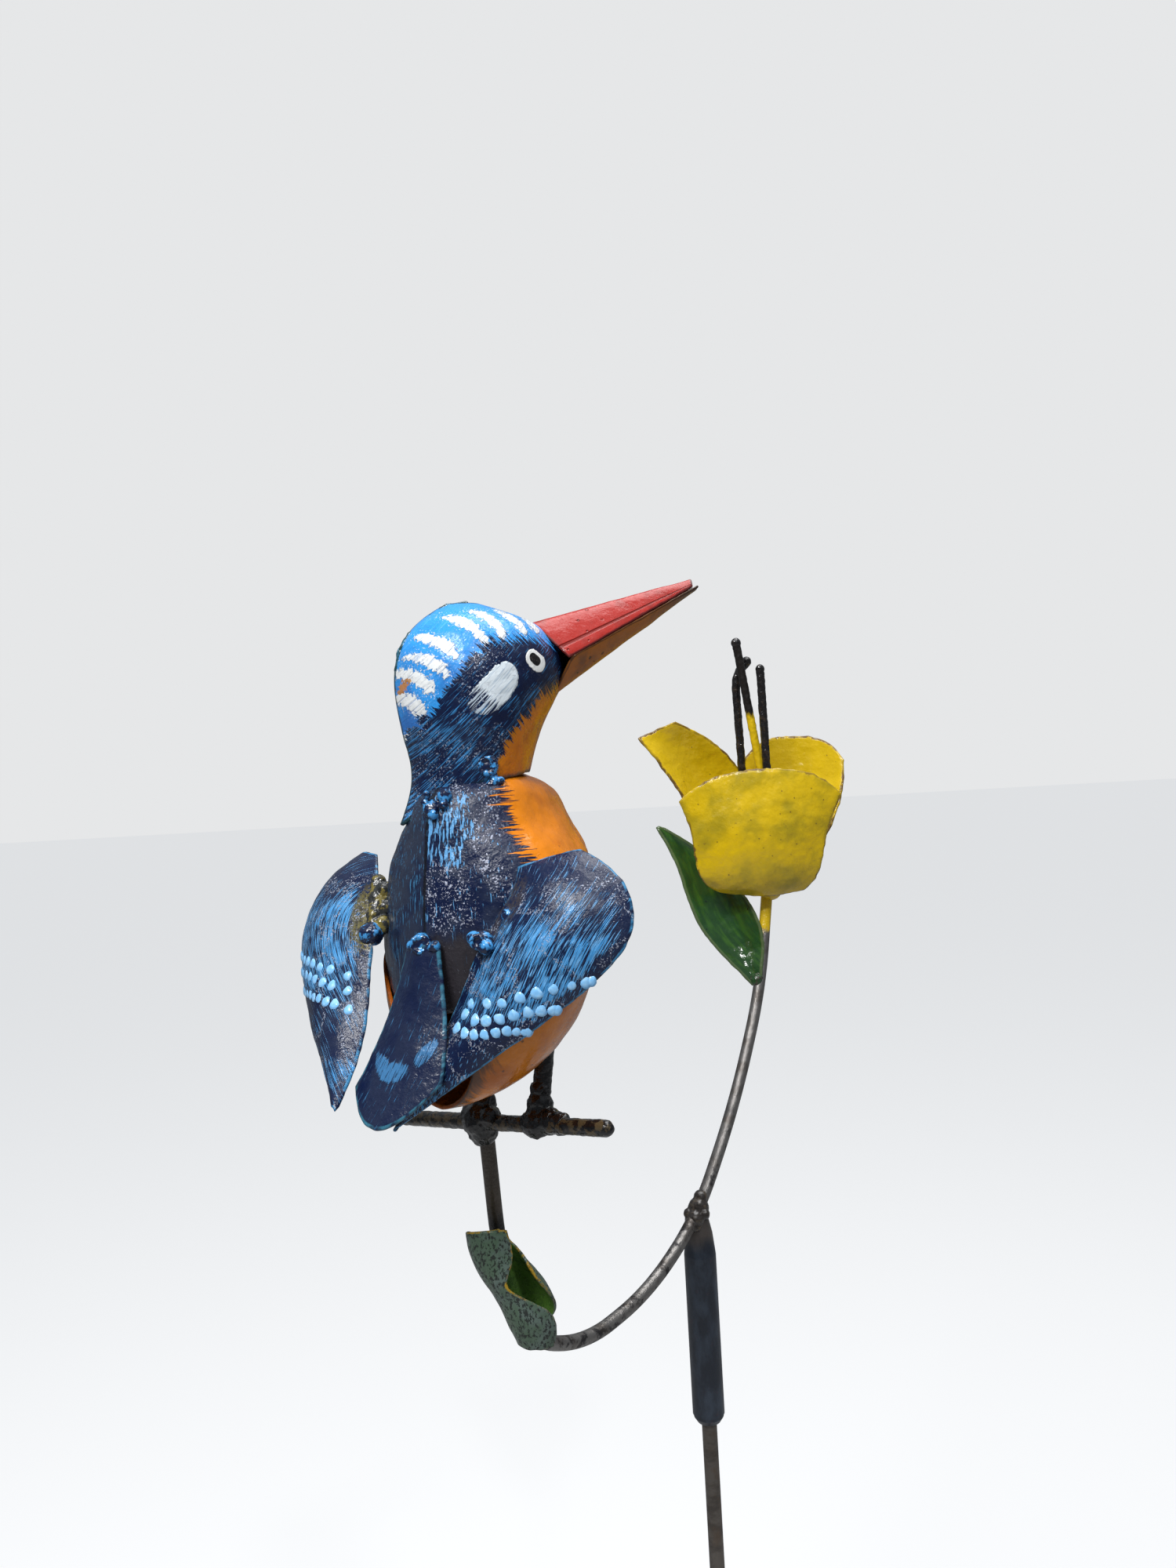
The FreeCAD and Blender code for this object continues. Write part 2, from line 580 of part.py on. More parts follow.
# centre, radius, first and last angle seen from above, and how far the near side stands up
ROLLED_LEAF = [((-72.8, -104.5, 559.5), 7.4, 70, 322, 2.6), ((-72.0, -104.5, 554.5), 8.6, 25, 325, 1.6),
               ((-69.6, -104.5, 549.5), 9.2, -12, 292, 0.6), ((-66.4, -104.0, 544.5), 9.6, -20, 250, 0.0),
               ((-63.0, -104.0, 539.0), 9.8, -10, 305, 0.0), ((-60.4, -103.5, 532.0), 9.3, 25, 340, 0.0),
               ((-59.4, -103.0, 524.5), 6.8, 95, 315, 0.0)]


def rolled_leaf_grid():
    """Outer face of a leaf rolled round a slanting axis, its near edge notched half way."""
    grid = []
    turns = 12
    for centre, radius, first, last, lean in ROLLED_LEAF:
        row = []
        for j in range(turns + 1):
            angle = math.radians(first + (last - first) * j / turns)
            around = Vector(math.cos(angle) * radius, math.sin(angle) * radius, -lean * math.sin(angle))
            row.append(Vector(*centre) + around)
        grid.append(row)
    return grid


# ---------------------------------------------------------------- build and write
stake()
guide_ring()
socket()
arm()
weld_beads("arm_weld", [(0.5, 0.6, 525.0, 4.6), (-1.5, -2.0, 521.5, 4.2)])
perch_and_legs()
body_shells()
head_parts()
wings_and_tail()
body_welds()
flower()
leaves()
doc.recompute()

for thing in doc.Objects:
    if "Invalid" in thing.State or "Error" in thing.State:
        raise RuntimeError("%s did not build: %s" % (thing.Name, thing.State))
for node in nodes:
    shape = node.Shape
    if shape.isNull() or not shape.isValid() or shape.Volume <= 0:
        raise RuntimeError("%s has no sound solid" % node.Label)
for node in nodes:
    node.Shape.exportStep("parts/%s.step" % node.Label)
    print("%-18s %9.1f mm3, %d solid" % (node.Label, node.Shape.Volume, len(node.Shape.Solids)))
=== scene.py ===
"""Looks of the kingfisher garden stake: detailed sheets, weld lumps, enamel and bare steel.

Everything is in metres in the row frame.  Measures below are in millimetres and are
multiplied by MM where they become geometry.
"""

import math
import random

import bpy
import numpy as np
from mathutils import Matrix, Vector, noise


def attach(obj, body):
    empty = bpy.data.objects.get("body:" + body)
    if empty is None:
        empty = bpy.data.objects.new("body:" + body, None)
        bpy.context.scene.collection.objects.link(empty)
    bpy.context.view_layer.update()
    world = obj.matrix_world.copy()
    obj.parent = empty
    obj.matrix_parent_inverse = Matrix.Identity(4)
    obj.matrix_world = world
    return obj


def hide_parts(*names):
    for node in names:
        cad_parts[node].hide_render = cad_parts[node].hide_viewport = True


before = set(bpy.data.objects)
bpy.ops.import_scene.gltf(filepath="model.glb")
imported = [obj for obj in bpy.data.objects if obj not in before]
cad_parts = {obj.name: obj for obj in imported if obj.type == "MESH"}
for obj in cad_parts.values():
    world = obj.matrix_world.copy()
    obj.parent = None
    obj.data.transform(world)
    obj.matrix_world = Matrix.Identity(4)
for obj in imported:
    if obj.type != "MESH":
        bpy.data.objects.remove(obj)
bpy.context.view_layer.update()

MM = 0.001
FIGURE = "figure"
METAL_SPECULAR = 0.5
PAINT_SPECULAR = 0.22

# ---------------------------------------------------------------- places
def place(x, y, z, turn):
    """Local frame in millimetres: an origin, and a turn about the vertical in degrees."""
    return Matrix.Translation((x, y, z)) @ Matrix.Rotation(math.radians(turn), 4, "Z")


BIRD = place(-64.6, -103.0, 592.9, 54.0)
HEAD = place(-66.6, -105.4, 592.9, 20.0)
BLOOM = place(44.3, 54.0, 643.5, 0.0)
WORLD = place(0.0, 0.0, 0.0, 0.0)


# ---------------------------------------------------------------- shader helpers
class Field:
    """A number carried by a shader socket.  Arithmetic on it adds Math nodes."""

    def __init__(self, finish, socket):
        self.finish = finish
        self.socket = socket

    def __add__(self, other):
        return self.finish.math("ADD", self, other)

    def __radd__(self, other):
        return self.finish.math("ADD", self, other)

    def __sub__(self, other):
        return self.finish.math("SUBTRACT", self, other)

    def __rsub__(self, other):
        return self.finish.math("SUBTRACT", other, self)

    def __mul__(self, other):
        return self.finish.math("MULTIPLY", self, other)

    def __rmul__(self, other):
        return self.finish.math("MULTIPLY", self, other)

    def __truediv__(self, other):
        return self.finish.math("DIVIDE", self, other)


class Finish:
    """A procedural material being built: a Principled shader and the fields that drive it."""

    def __init__(self, name, roughness=0.35, metallic=0.0, coat=0.0, coat_roughness=0.08):
        self.material = bpy.data.materials.new(name)
        self.material.use_nodes = True
        self.tree = self.material.node_tree
        self.shader = self.tree.nodes["Principled BSDF"]
        self.shader.inputs["Roughness"].default_value = roughness
        self.shader.inputs["Metallic"].default_value = metallic
        self.shader.inputs["Coat Weight"].default_value = coat
        level = METAL_SPECULAR if metallic else PAINT_SPECULAR
        self.shader.inputs["Specular IOR Level"].default_value = level
        self.shader.inputs["Coat Roughness"].default_value = coat_roughness
        self.readers = {}

    def node(self, kind, **settings):
        node = self.tree.nodes.new(kind)
        for key, value in settings.items():
            setattr(node, key, value)
        return node

    def feed(self, socket, value):
        """Put a number, a colour, a socket or a field into an input socket."""
        if isinstance(value, Field):
            self.tree.links.new(value.socket, socket)
        elif isinstance(value, bpy.types.NodeSocket):
            self.tree.links.new(value, socket)
        elif isinstance(value, tuple) and len(value) == 3 and socket.type == "RGBA":
            socket.default_value = (*value, 1.0)
        else:
            socket.default_value = value

    def math(self, operation, first, second=0.0, third=0.0):
        node = self.node("ShaderNodeMath", operation=operation)
        for socket, value in zip(node.inputs, (first, second, third)):
            self.feed(socket, value)
        return Field(self, node.outputs[0])

    def read(self, attribute):
        """The three fields of a vector attribute, in millimetres."""
        if attribute not in self.readers:
            source = self.node("ShaderNodeAttribute", attribute_name=attribute)
            split = self.node("ShaderNodeSeparateXYZ")
            self.tree.links.new(source.outputs["Vector"], split.inputs[0])
            self.readers[attribute] = [Field(self, out) for out in split.outputs]
        return self.readers[attribute]

    def place(self):
        """The three fields of the rest position in the row frame, in millimetres."""
        if "place" not in self.readers:
            source = self.node("ShaderNodeTexCoord")
            split = self.node("ShaderNodeSeparateXYZ")
            self.tree.links.new(source.outputs["Object"], split.inputs[0])
            self.readers["place"] = [Field(self, out) * 1000.0 for out in split.outputs]
        return self.readers["place"]

    def vector(self, x, y=0.0, z=0.0):
        node = self.node("ShaderNodeCombineXYZ")
        for socket, value in zip(node.inputs, (x, y, z)):
            self.feed(socket, value)
        return node.outputs[0]

    def noise(self, fields, sizes, detail=3.0, roughness=0.55, shift=0.0):
        """Noise from 0 to 1 whose grain is sizes[i] millimetres along fields[i]."""
        scaled = [field / size + shift for field, size in zip(fields, sizes)]
        node = self.node("ShaderNodeTexNoise")
        node.inputs["Scale"].default_value = 1.0
        node.inputs["Detail"].default_value = detail
        node.inputs["Roughness"].default_value = roughness
        self.tree.links.new(self.vector(*scaled), node.inputs["Vector"])
        return Field(self, node.outputs[0])

    def cells(self, fields, size, shift=0.0):
        """Distance to the nearest scattered point, in units of the cell size."""
        node = self.node("ShaderNodeTexVoronoi")
        node.inputs["Scale"].default_value = 1.0
        scaled = [field / size + shift for field in fields]
        self.tree.links.new(self.vector(*scaled), node.inputs["Vector"])
        return Field(self, node.outputs["Distance"])

    def rise(self, field, low, high):
        """0 below low, 1 above high and a smooth rise between (high may be the smaller)."""
        node = self.node("ShaderNodeMapRange", interpolation_type="SMOOTHSTEP")
        for socket, value in zip(node.inputs, (field, low, high)):
            self.feed(socket, value)
        return Field(self, node.outputs[0])

    def curve(self, field, points):
        """Smooth function of a field through listed (input, output) points."""
        inputs, outputs = zip(*points)
        left, right, bottom, top = min(inputs), max(inputs), min(outputs), max(outputs)
        node = self.node("ShaderNodeFloatCurve")
        line = node.mapping.curves[0]
        while len(line.points) < len(points):
            line.points.new(0.5, 0.5)
        for point, (x, y) in zip(line.points, sorted(points)):
            point.location = ((x - left) / (right - left), (y - bottom) / (top - bottom))
        node.mapping.update()
        self.feed(node.inputs["Value"], (field - left) / (right - left))
        return Field(self, node.outputs[0]) * (top - bottom) + bottom

    def dab(self, x, y, centre, length, width, turn, bend=0.0, rough=None):
        """Brush dab: above 0 inside an oval of this half length and half width, bent."""
        cos, sin = math.cos(math.radians(turn)), math.sin(math.radians(turn))
        dx, dy = x - centre[0], y - centre[1]
        along = dx * (cos / length) + dy * (sin / length)
        across = dy * (cos / width) - dx * (sin / width) + (along * along - 0.5) * (bend / width)
        if rough is not None:
            across = across + rough
        reach = self.math("POWER", along * along, 1.6) + across * across
        return 1.0 - reach

    def mix(self, first, second, factor):
        """Colour that goes from first to second as the factor goes from 0 to 1."""
        node = self.node("ShaderNodeMix", data_type="RGBA")
        self.feed(node.inputs["Factor"], factor)
        self.feed(node.inputs["A"], first)
        self.feed(node.inputs["B"], second)
        return node.outputs["Result"]

    def larger(self, first, second):
        return self.math("MAXIMUM", first, second)

    def done(self, colour, roughness=None, bumps=(), metallic=None):
        """Join colour, roughness, metallic and a chain of (height, distance in mm) bumps."""
        self.feed(self.shader.inputs["Base Color"], colour)
        if roughness is not None:
            self.feed(self.shader.inputs["Roughness"], roughness)
        if metallic is not None:
            self.feed(self.shader.inputs["Metallic"], metallic)
        normal = None
        for height, distance in bumps:
            bump = self.node("ShaderNodeBump")
            bump.inputs["Distance"].default_value = distance * MM
            self.feed(bump.inputs["Height"], height)
            if normal is not None:
                self.tree.links.new(normal, bump.inputs["Normal"])
            normal = bump.outputs["Normal"]
        if normal is not None:
            self.tree.links.new(normal, self.shader.inputs["Normal"])
            self.tree.links.new(normal, self.shader.inputs["Coat Normal"])
        return self.material


# ---------------------------------------------------------------- colours (linear)
NAVY = (0.004, 0.010, 0.042)
SLATE = (0.016, 0.024, 0.055)
STREAK = (0.05, 0.27, 0.60)
PALE_BLUE = (0.22, 0.52, 0.88)
CROWN = (0.030, 0.29, 0.74)
CROWN_DEEP = (0.03, 0.16, 0.50)
WHITE = (0.78, 0.80, 0.80)
BLACK = (0.006, 0.006, 0.007)
ORANGE = (0.72, 0.215, 0.004)
ORANGE_DEEP = (0.42, 0.095, 0.004)
AMBER = (0.40, 0.13, 0.012)
RED = (0.36, 0.020, 0.014)
RED_DARK = (0.16, 0.012, 0.008)
YELLOW = (0.62, 0.42, 0.006)
OLIVE = (0.30, 0.235, 0.012)
RUST = (0.085, 0.035, 0.012)
BURNT = (0.055, 0.042, 0.032)
STEEL = (0.23, 0.22, 0.21)
OXIDE = (0.045, 0.043, 0.045)
TUBE = (0.012, 0.018, 0.030)
GREEN = (0.015, 0.056, 0.014)
GREEN_BRIGHT = (0.07, 0.20, 0.015)
LEAF_GREY = (0.070, 0.115, 0.075)
SPECK = (0.015, 0.018, 0.016)
EDGE_TEAL = (0.010, 0.050, 0.060)
STAMEN_BLACK = (0.012, 0.010, 0.009)


def worn_edge(finish, width):
    """1 at a sheet's cut edge, fading to 0 at about the width in from it."""
    wobble = finish.noise(finish.place(), (2.2, 2.2, 2.2), 3.0)
    return finish.rise(finish.read("rim")[0] - wobble * width * 1.6, width * 0.3, width * -0.5)


def finish_body():
    """Back in navy with streaks and painted glints, breast in orange, bristles between them."""
    finish = Finish("body_enamel", roughness=0.30, coat=0.28, coat_roughness=0.05)
    u, v, w = finish.read("local")
    x, y, z = finish.place()
    inside = finish.read("chart")[2]
    grain = finish.noise((x, y, z), (0.62, 0.62, 0.62), 3.0, 0.7)
    cloud = finish.noise((x, y, z), (7.0, 7.0, 7.0), 3.0, shift=3.7)
    right_side = finish.rise(v, 0.4, -0.4)

    thin = finish.noise((u, v, w), (0.42, 0.42, 9.0), 2.0, 0.6, shift=2.0)
    left = finish.mix((0.022, 0.031, 0.058), NAVY, finish.rise(cloud, 0.42, 0.68) * 0.7)
    left = finish.mix(left, (0.06, 0.24, 0.45), finish.rise(thin + (cloud - 0.5) * 0.2, 0.60, 0.67) * 0.75)

    edge_on = (cloud - 0.5) * 1.6
    # Zones where the painted glints (whitish flecks standing in for sparkling highlights) crowd together.
    glint_zone = finish.rise(finish.dab(v, w, (-7.5, 73.5), 11.0, 8.0, 80.0, 0.0, edge_on), -0.5, 0.5)
    for centre, half_height, half_width, turn in (((-16.5, 94.0), 14.0, 3.4, 86.0),
                                                  ((-11.0, 104.5), 8.0, 2.4, 0.0),
                                                  ((-22.0, 78.0), 8.0, 3.0, 60.0)):
        more = finish.dab(v, w, centre, half_height, half_width, turn, 0.0, edge_on)
        glint_zone = finish.larger(glint_zone, finish.rise(more, -0.5, 0.5))
    painted = finish.rise(finish.dab(v, w, (-6.5, 92.0), 11.0, 6.5, 88.0, 0.0, edge_on), -0.6, 0.4)
    strokes = finish.noise((u, v, w), (0.75, 0.75, 7.0), 2.0, 0.6)
    strokes = finish.rise(strokes + painted * 0.16, 0.64, 0.70)
    right = finish.mix(NAVY, SLATE, finish.rise(cloud, 0.45, 0.65))
    right = finish.mix(right, finish.mix(STREAK, PALE_BLUE, grain), strokes * 0.9)
    # Lower back between the tail and the right wing goes near black: partly burnt metal, partly painted
    # shade.
    burn = finish.rise(w + cloud * 14.0, 74.0, 66.0) * finish.rise(u, -20.0, -26.0)
    right = finish.mix(right, (0.030, 0.026, 0.028), burn * 0.9)
    # Painted glints: whitish-lilac flecks on the right panel stand in for sparkling highlights on the
    # hammered enamel.
    glint_clumps = finish.noise((x, y, z), (2.6, 2.6, 2.6), 2.0, 0.6, shift=7.3)
    level = 0.68 - glint_zone * 0.11 - (glint_clumps - 0.5) * 0.34
    specks = finish.rise(grain - level, 0.0, 0.04)
    right = finish.mix(right, (0.50, 0.53, 0.66), specks * (0.30 + glint_zone * 0.6))
    coat = finish.mix(left, right, right_side)

    bristles = finish.noise((w, u), (0.75, 14.0), 2.0, 0.75)
    border = finish.curve(w, [(34.0, -8.0), (70.0, -12.0), (84.0, -16.5), (96.0, -15.5), (110.0, -11.0)])
    belly = finish.rise(u - border - (bristles - 0.5) * 26.0, -0.3, 0.4)
    deep = finish.noise((x, y, z), (12.0, 12.0, 12.0), 3.0, shift=8.0)
    orange = finish.mix(ORANGE, ORANGE_DEEP, finish.rise(deep, 0.5, 0.75) * 0.6)
    stains = finish.rise(finish.cells((x, y, z), 7.0, 0.4), 0.12, 0.04)
    orange = finish.mix(orange, RUST, stains * 0.7)
    near_border = finish.rise(u - border, 0.0, -5.0) * right_side
    coat = finish.mix(NAVY, coat, finish.larger(near_border, 1.0 - right_side))
    colour = finish.mix(coat, orange, belly)
    colour = finish.mix(colour, BLACK, worn_edge(finish, 0.8) * 0.8)
    colour = finish.mix(colour, BURNT, inside)
    dimples = finish.noise((x, y, z), (1.3, 1.3, 1.3), 3.0, 0.65)
    bare = right_side * (1.0 - belly)
    relief = dimples * (0.25 + bare * 0.75) + specks * bare * 0.5
    return finish.done(colour, finish.noise((x, y, z), (4.0, 4.0, 4.0)) * 0.25 + 0.14,
                       [(relief, 0.36), (strokes, 0.08)])


# white strokes of the crown: start, middle and end as (forward, height) in the head's frame
CROWN_STROKES = [((-12, 156), (-6.5, 153), (-2, 146.5)), ((-4, 157.5), (1.5, 154), (3.5, 148)),
                 ((5, 158.5), (9.5, 155), (12, 150.5)), ((14.5, 156.5), (16.3, 154.5), (17.5, 151.5)),
                 ((-20, 150.5), (-15, 148), (-11, 143)), ((-23.5, 144.5), (-17.5, 142), (-14, 137.5)),
                 ((-26, 140.5), (-21, 137.5), (-18, 133)), ((-26.5, 133), (-23, 131), (-20.5, 126.5)),
                 ((-24.5, 121), (-22.5, 120), (-21, 118))]
MASK_TOP = [(-26.5, 108.0), (-25.0, 117.0), (-22.3, 124.7), (-18.6, 127.6), (-15.0, 132.2),
            (-10.9, 138.3), (-7.1, 142.3), (-2.0, 147.0), (3.0, 148.0), (16.0, 148.4), (26.0, 147.0)]
THROAT = [(-4.0, 100.0), (-1.0, 108.0), (1.5, 115.0), (5.0, 120.2), (9.0, 125.0), (12.7, 127.8),
          (16.0, 131.0), (23.0, 133.8), (29.0, 138.0)]


def stroke(finish, x, y, start, middle, end, half_width, rough):
    """Brush stroke through three points, as a bent dab."""
    first, half_way, last = Vector(start), Vector(middle), Vector(end)
    chord = last - first
    centre = (first + last) / 2
    turn = math.degrees(math.atan2(chord.y, chord.x))
    sideways = Vector((-chord.y, chord.x)).normalized()
    bend = (half_way - centre).dot(sideways)
    return finish.dab(x, y, centre + sideways * bend / 2, chord.length / 2 + 0.6, half_width,
                      turn, bend, rough)


def finish_head():
    """Crown in sky blue with white strokes, navy mask, eye, cheek and orange throat."""
    finish = Finish("head_enamel", roughness=0.28, coat=0.25, coat_roughness=0.06)
    g, m, w = finish.read("local")
    x, y, z = finish.place()
    inside = finish.read("chart")[2]
    rim = finish.read("rim")[0]
    slant, fall = (g + w) * 0.707, (w - g) * 0.707
    fibre = finish.noise((slant, fall), (0.72, 16.0), 2.0, 0.75)
    fibre_low = finish.noise((slant, fall), (0.70, 13.0), 2.0, 0.75, shift=6.3)
    grain = finish.noise((x, y, z), (1.4, 1.4, 1.4), 3.0, 0.65)
    brush = finish.noise((fall, slant), (0.5, 10.0), 2.0, 0.6, shift=1.7)
    patch = finish.noise((x, y, z), (10.0, 10.0, 10.0), 2.0, shift=4.4)

    crown = finish.mix(CROWN, CROWN_DEEP, finish.rise(patch + (145.0 - w) * 0.012, 0.5, 0.85))
    crown = finish.mix(crown, (0.10, 0.42, 0.90), finish.rise(brush, 0.58, 0.70) * 0.55)
    crown = finish.mix(crown, CROWN_DEEP, finish.rise(grain, 0.60, 0.68) * 0.35)
    white = None
    for start, middle, end in CROWN_STROKES:
        dab = stroke(finish, g, w, start, middle, end, 1.8, (grain - 0.5) * 3.0)
        white = dab if white is None else finish.larger(white, dab)
    streaky = finish.rise(brush, 0.34, 0.48) * 0.35 + 0.65
    white_paint = finish.rise(white, -0.05, 0.18) * streaky
    crown = finish.mix(crown, WHITE, white_paint)
    flecks = finish.rise(finish.noise((x, y, z), (0.6, 0.6, 0.6), 2.0, 0.7), 0.59, 0.65)
    near = finish.rise(white, -2.4, -0.2)
    crown = finish.mix(crown, WHITE, flecks * near * 0.85)
    blotch = finish.dab(g, w, (-24.4, 136.0), 2.6, 1.0, 70.0, 0.0, (grain - 0.5) * 4.0)
    blotch = finish.rise(blotch, 0.0, 0.3)
    crown = finish.mix(crown, (0.50, 0.20, 0.02), blotch * 0.9)

    streak_noise = finish.noise((fall, slant), (0.42, 10.0), 2.0, 0.62, shift=9.1)
    fine_noise = finish.noise((fall, slant), (0.24, 6.0), 1.0, 0.5, shift=4.1)
    low = finish.rise(w, 140.0, 122.0)
    lively = (patch - 0.5) * 0.30 + low * 0.06
    streak = finish.rise(streak_noise + lively, 0.64, 0.70)
    hair = finish.rise(fine_noise + lively, 0.65, 0.70)
    slate = finish.rise(patch, 0.45, 0.65) * 0.5
    mask = finish.mix(finish.mix(NAVY, SLATE, slate), STREAK, finish.larger(streak * 0.8, hair * 0.75))
    # Painted glints: pale flecks on the back of the mask stand in for sparkling highlights.
    glints = finish.rise(finish.noise((x, y, z), (0.62, 0.62, 0.62), 3.0, 0.75, shift=2.2), 0.58, 0.63)
    shine = finish.rise(finish.noise((x, y, z), (8.0, 8.0, 8.0), 2.0, shift=7.7), 0.42, 0.58)
    mask = finish.mix(mask, (0.50, 0.58, 0.74), glints * shine * finish.rise(g, 10.0, 2.0) * 0.75)

    cheek = finish.dab(g, w, (-0.8, 133.4), 9.6, 4.9, 43.0, -0.6, (grain - 0.5) * 0.35)
    tail_end = finish.rise(g + w, 136.0, 125.5)
    thin = finish.rise(brush + 0.32 - tail_end * 0.5, 0.30, 0.42)
    cheek_paint = finish.rise(cheek, 0.0, 0.10) * thin
    cheek_colour = finish.mix((0.70, 0.77, 0.82), (0.42, 0.52, 0.62), finish.rise(brush, 0.50, 0.66))
    mask = finish.mix(mask, cheek_colour, cheek_paint)

    above = w - finish.curve(g, MASK_TOP) + (fibre - 0.5) * 17.0
    colour = finish.mix(mask, crown, finish.rise(above, -0.2, 0.3))
    below = finish.curve(g, THROAT) - w + (fibre_low - 0.5) * 19.0
    orange_there = finish.rise(below, -0.2, 0.3) * finish.rise(g, -5.0, -2.0)
    orange = finish.mix(ORANGE, ORANGE_DEEP, finish.rise(patch, 0.48, 0.70) * 0.55)
    ochre = finish.rise(below, 4.5, 0.0) * finish.rise(fibre_low, 0.40, 0.60)
    orange = finish.mix(orange, (0.22, 0.12, 0.01), ochre * 0.6)
    colour = finish.mix(colour, orange, orange_there)

    eye_ring = finish.dab(g, w, (14.1, 141.9), 3.9, 3.2, -32.0, 0.0, (grain - 0.5) * 0.35)
    pupil = finish.dab(g, w, (13.8, 142.3), 2.25, 1.7, -38.0, 0.0, (grain - 0.5) * 0.3)
    colour = finish.mix(colour, (0.82, 0.83, 0.82), finish.rise(eye_ring, 0.0, 0.12))
    colour = finish.mix(colour, BLACK, finish.rise(pupil, 0.0, 0.15))
    worn = finish.rise(rim + grain * 1.6, 2.0, 0.9)
    colour = finish.mix(colour, EDGE_TEAL, worn * 0.9)
    # Inner faces painted black: painted shade for the hollow inside of the head.
    colour = finish.mix(colour, BLACK, inside)
    relief = finish.rise(eye_ring, 0.0, 0.2) + finish.rise(cheek, 0.0, 0.2) * 0.6 + white_paint
    mottle = finish.noise((x, y, z), (2.6, 2.6, 2.6), 3.0)
    return finish.done(colour, mottle * 0.22 + 0.18,
                       [(relief, 0.25), (mottle, 0.30), (brush, 0.10), (glints * shine, 0.10)])


def finish_wing(name, root, bare, shade, burn_amount):
    """Navy wing with light streaks running to the tip, trails of painted glints, and a burnt patch at its
    root.
    """
    finish = Finish(name, roughness=0.28, coat=0.22, coat_roughness=0.05)
    x, y, z = finish.place()
    across, along, inside = finish.read("chart")
    rim, width, length = finish.read("rim")
    cloud = finish.noise((x, y, z), (9.0, 9.0, 9.0), 2.0, shift=2.1)
    broad = finish.rise(along, 0.10, 0.30) * finish.rise(along, 0.62, 0.52) * finish.rise(rim, 2.5, 6.0)
    tip = finish.rise(along, 0.80, 0.86) * finish.rise(along, 0.99, 0.93)
    lively = broad + tip * 0.8
    fine = finish.noise((width, length), (0.50, 11.0), 2.0, 0.62)
    thin = finish.noise((width, length), (0.26, 6.0), 1.0, 0.5, shift=5.0)
    streak = finish.rise(fine + lively * 0.15 + (cloud - 0.5) * 0.42, 0.64, 0.70)
    hair = finish.rise(thin + lively * 0.10 + (cloud - 0.5) * 0.2, 0.66, 0.71)
    slate = finish.rise(finish.noise((x, y, z), (13.0, 13.0, 13.0), 3.0, shift=9.0), 0.45, 0.68)
    colour = finish.mix(NAVY, SLATE, slate * 0.7)
    light = finish.mix(STREAK, PALE_BLUE, finish.rise(thin, 0.45, 0.70) * 0.7)
    colour = finish.mix(colour, light, finish.larger(streak * 0.9, hair * 0.8))
    edge_noise = finish.noise((width, length), (5.0, 5.0), 2.0, shift=3.0)
    line = finish.rise(rim, 0.55, 0.25) * finish.rise(edge_noise, 0.42, 0.55)
    colour = finish.mix(colour, (0.05, 0.26, 0.50), line * 0.75)
    grain = finish.noise((x, y, z), (1.3, 1.3, 1.3), 3.0, 0.65)
    patch = finish.dab(across, along, root, 0.15, 0.13, 0.0, 0.0, (grain - 0.5) * 2.5)
    there = finish.rise(patch, -0.2, 0.5) * finish.rise(grain, 0.30, 0.46)
    scorched = finish.mix(bare, shade, finish.rise(grain, 0.45, 0.62))
    colour = finish.mix(colour, scorched, there * burn_amount)
    # Painted glints: pale flecks strung in loose trails stand in for sparkling highlights on the wing's
    # enamel.
    trail_field = finish.noise((x, y, z), (16.0, 16.0, 16.0), 2.0, shift=6.6)
    painted_glint_trail = finish.rise(finish.math("ABSOLUTE", trail_field - 0.50), 0.060, 0.015)
    painted_glint_trail = painted_glint_trail * finish.rise(along, 0.05, 0.14) * finish.rise(along, 0.92, 0.80)
    painted_glint_noise = finish.noise((x, y, z), (0.60, 0.60, 0.60), 3.0, 0.75)
    specks = finish.rise(painted_glint_noise - (0.67 - painted_glint_trail * 0.13), 0.0, 0.04)
    colour = finish.mix(colour, (0.46, 0.50, 0.62), specks * (0.20 + painted_glint_trail * 0.50))
    colour = finish.mix(colour, finish.mix(NAVY, BURNT, slate), inside)
    return finish.done(colour, grain * 0.25 + 0.14, [(streak, 0.10), (grain, 0.24), (specks * painted_glint_trail, 0.15)])


def finish_tail():
    """Navy-slate tail with two light brush patches and cyan cut edges."""
    finish = Finish("tail_enamel", roughness=0.30, coat=0.35, coat_roughness=0.07)
    x, y, z = finish.place()
    across, along, inside = finish.read("chart")
    rim, width, length = finish.read("rim")
    fine = finish.noise((width, length), (0.45, 7.0), 2.0, 0.65)
    cloud = finish.noise((x, y, z), (9.0, 9.0, 9.0), 3.0, shift=1.3)
    ground = finish.mix(NAVY, SLATE, finish.rise(cloud, 0.35, 0.6) * 0.6)
    first = finish.dab(across, along, (0.36, 0.70), 0.26, 0.055, 0.0)
    second = finish.dab(across, along, (0.80, 0.66), 0.13, 0.065, 0.0)
    patches = finish.rise(finish.larger(first, second), -0.5, 0.5)
    streak = finish.rise(fine + patches * 0.24 + (cloud - 0.5) * 0.15, 0.62, 0.70)
    colour = finish.mix(ground, (0.05, 0.19, 0.40), streak * 0.85)
    line = finish.rise(rim, 0.7, 0.3) * finish.rise(finish.noise((width, length), (4.0, 4.0)), 0.4, 0.6)
    colour = finish.mix(colour, (0.05, 0.22, 0.32), line * 0.7)
    colour = finish.mix(colour, BURNT, inside)
    grain = finish.noise((x, y, z), (1.6, 1.6, 1.6), 3.0, 0.6)
    return finish.done(colour, grain * 0.25 + 0.2, [(streak, 0.10), (grain, 0.25)])


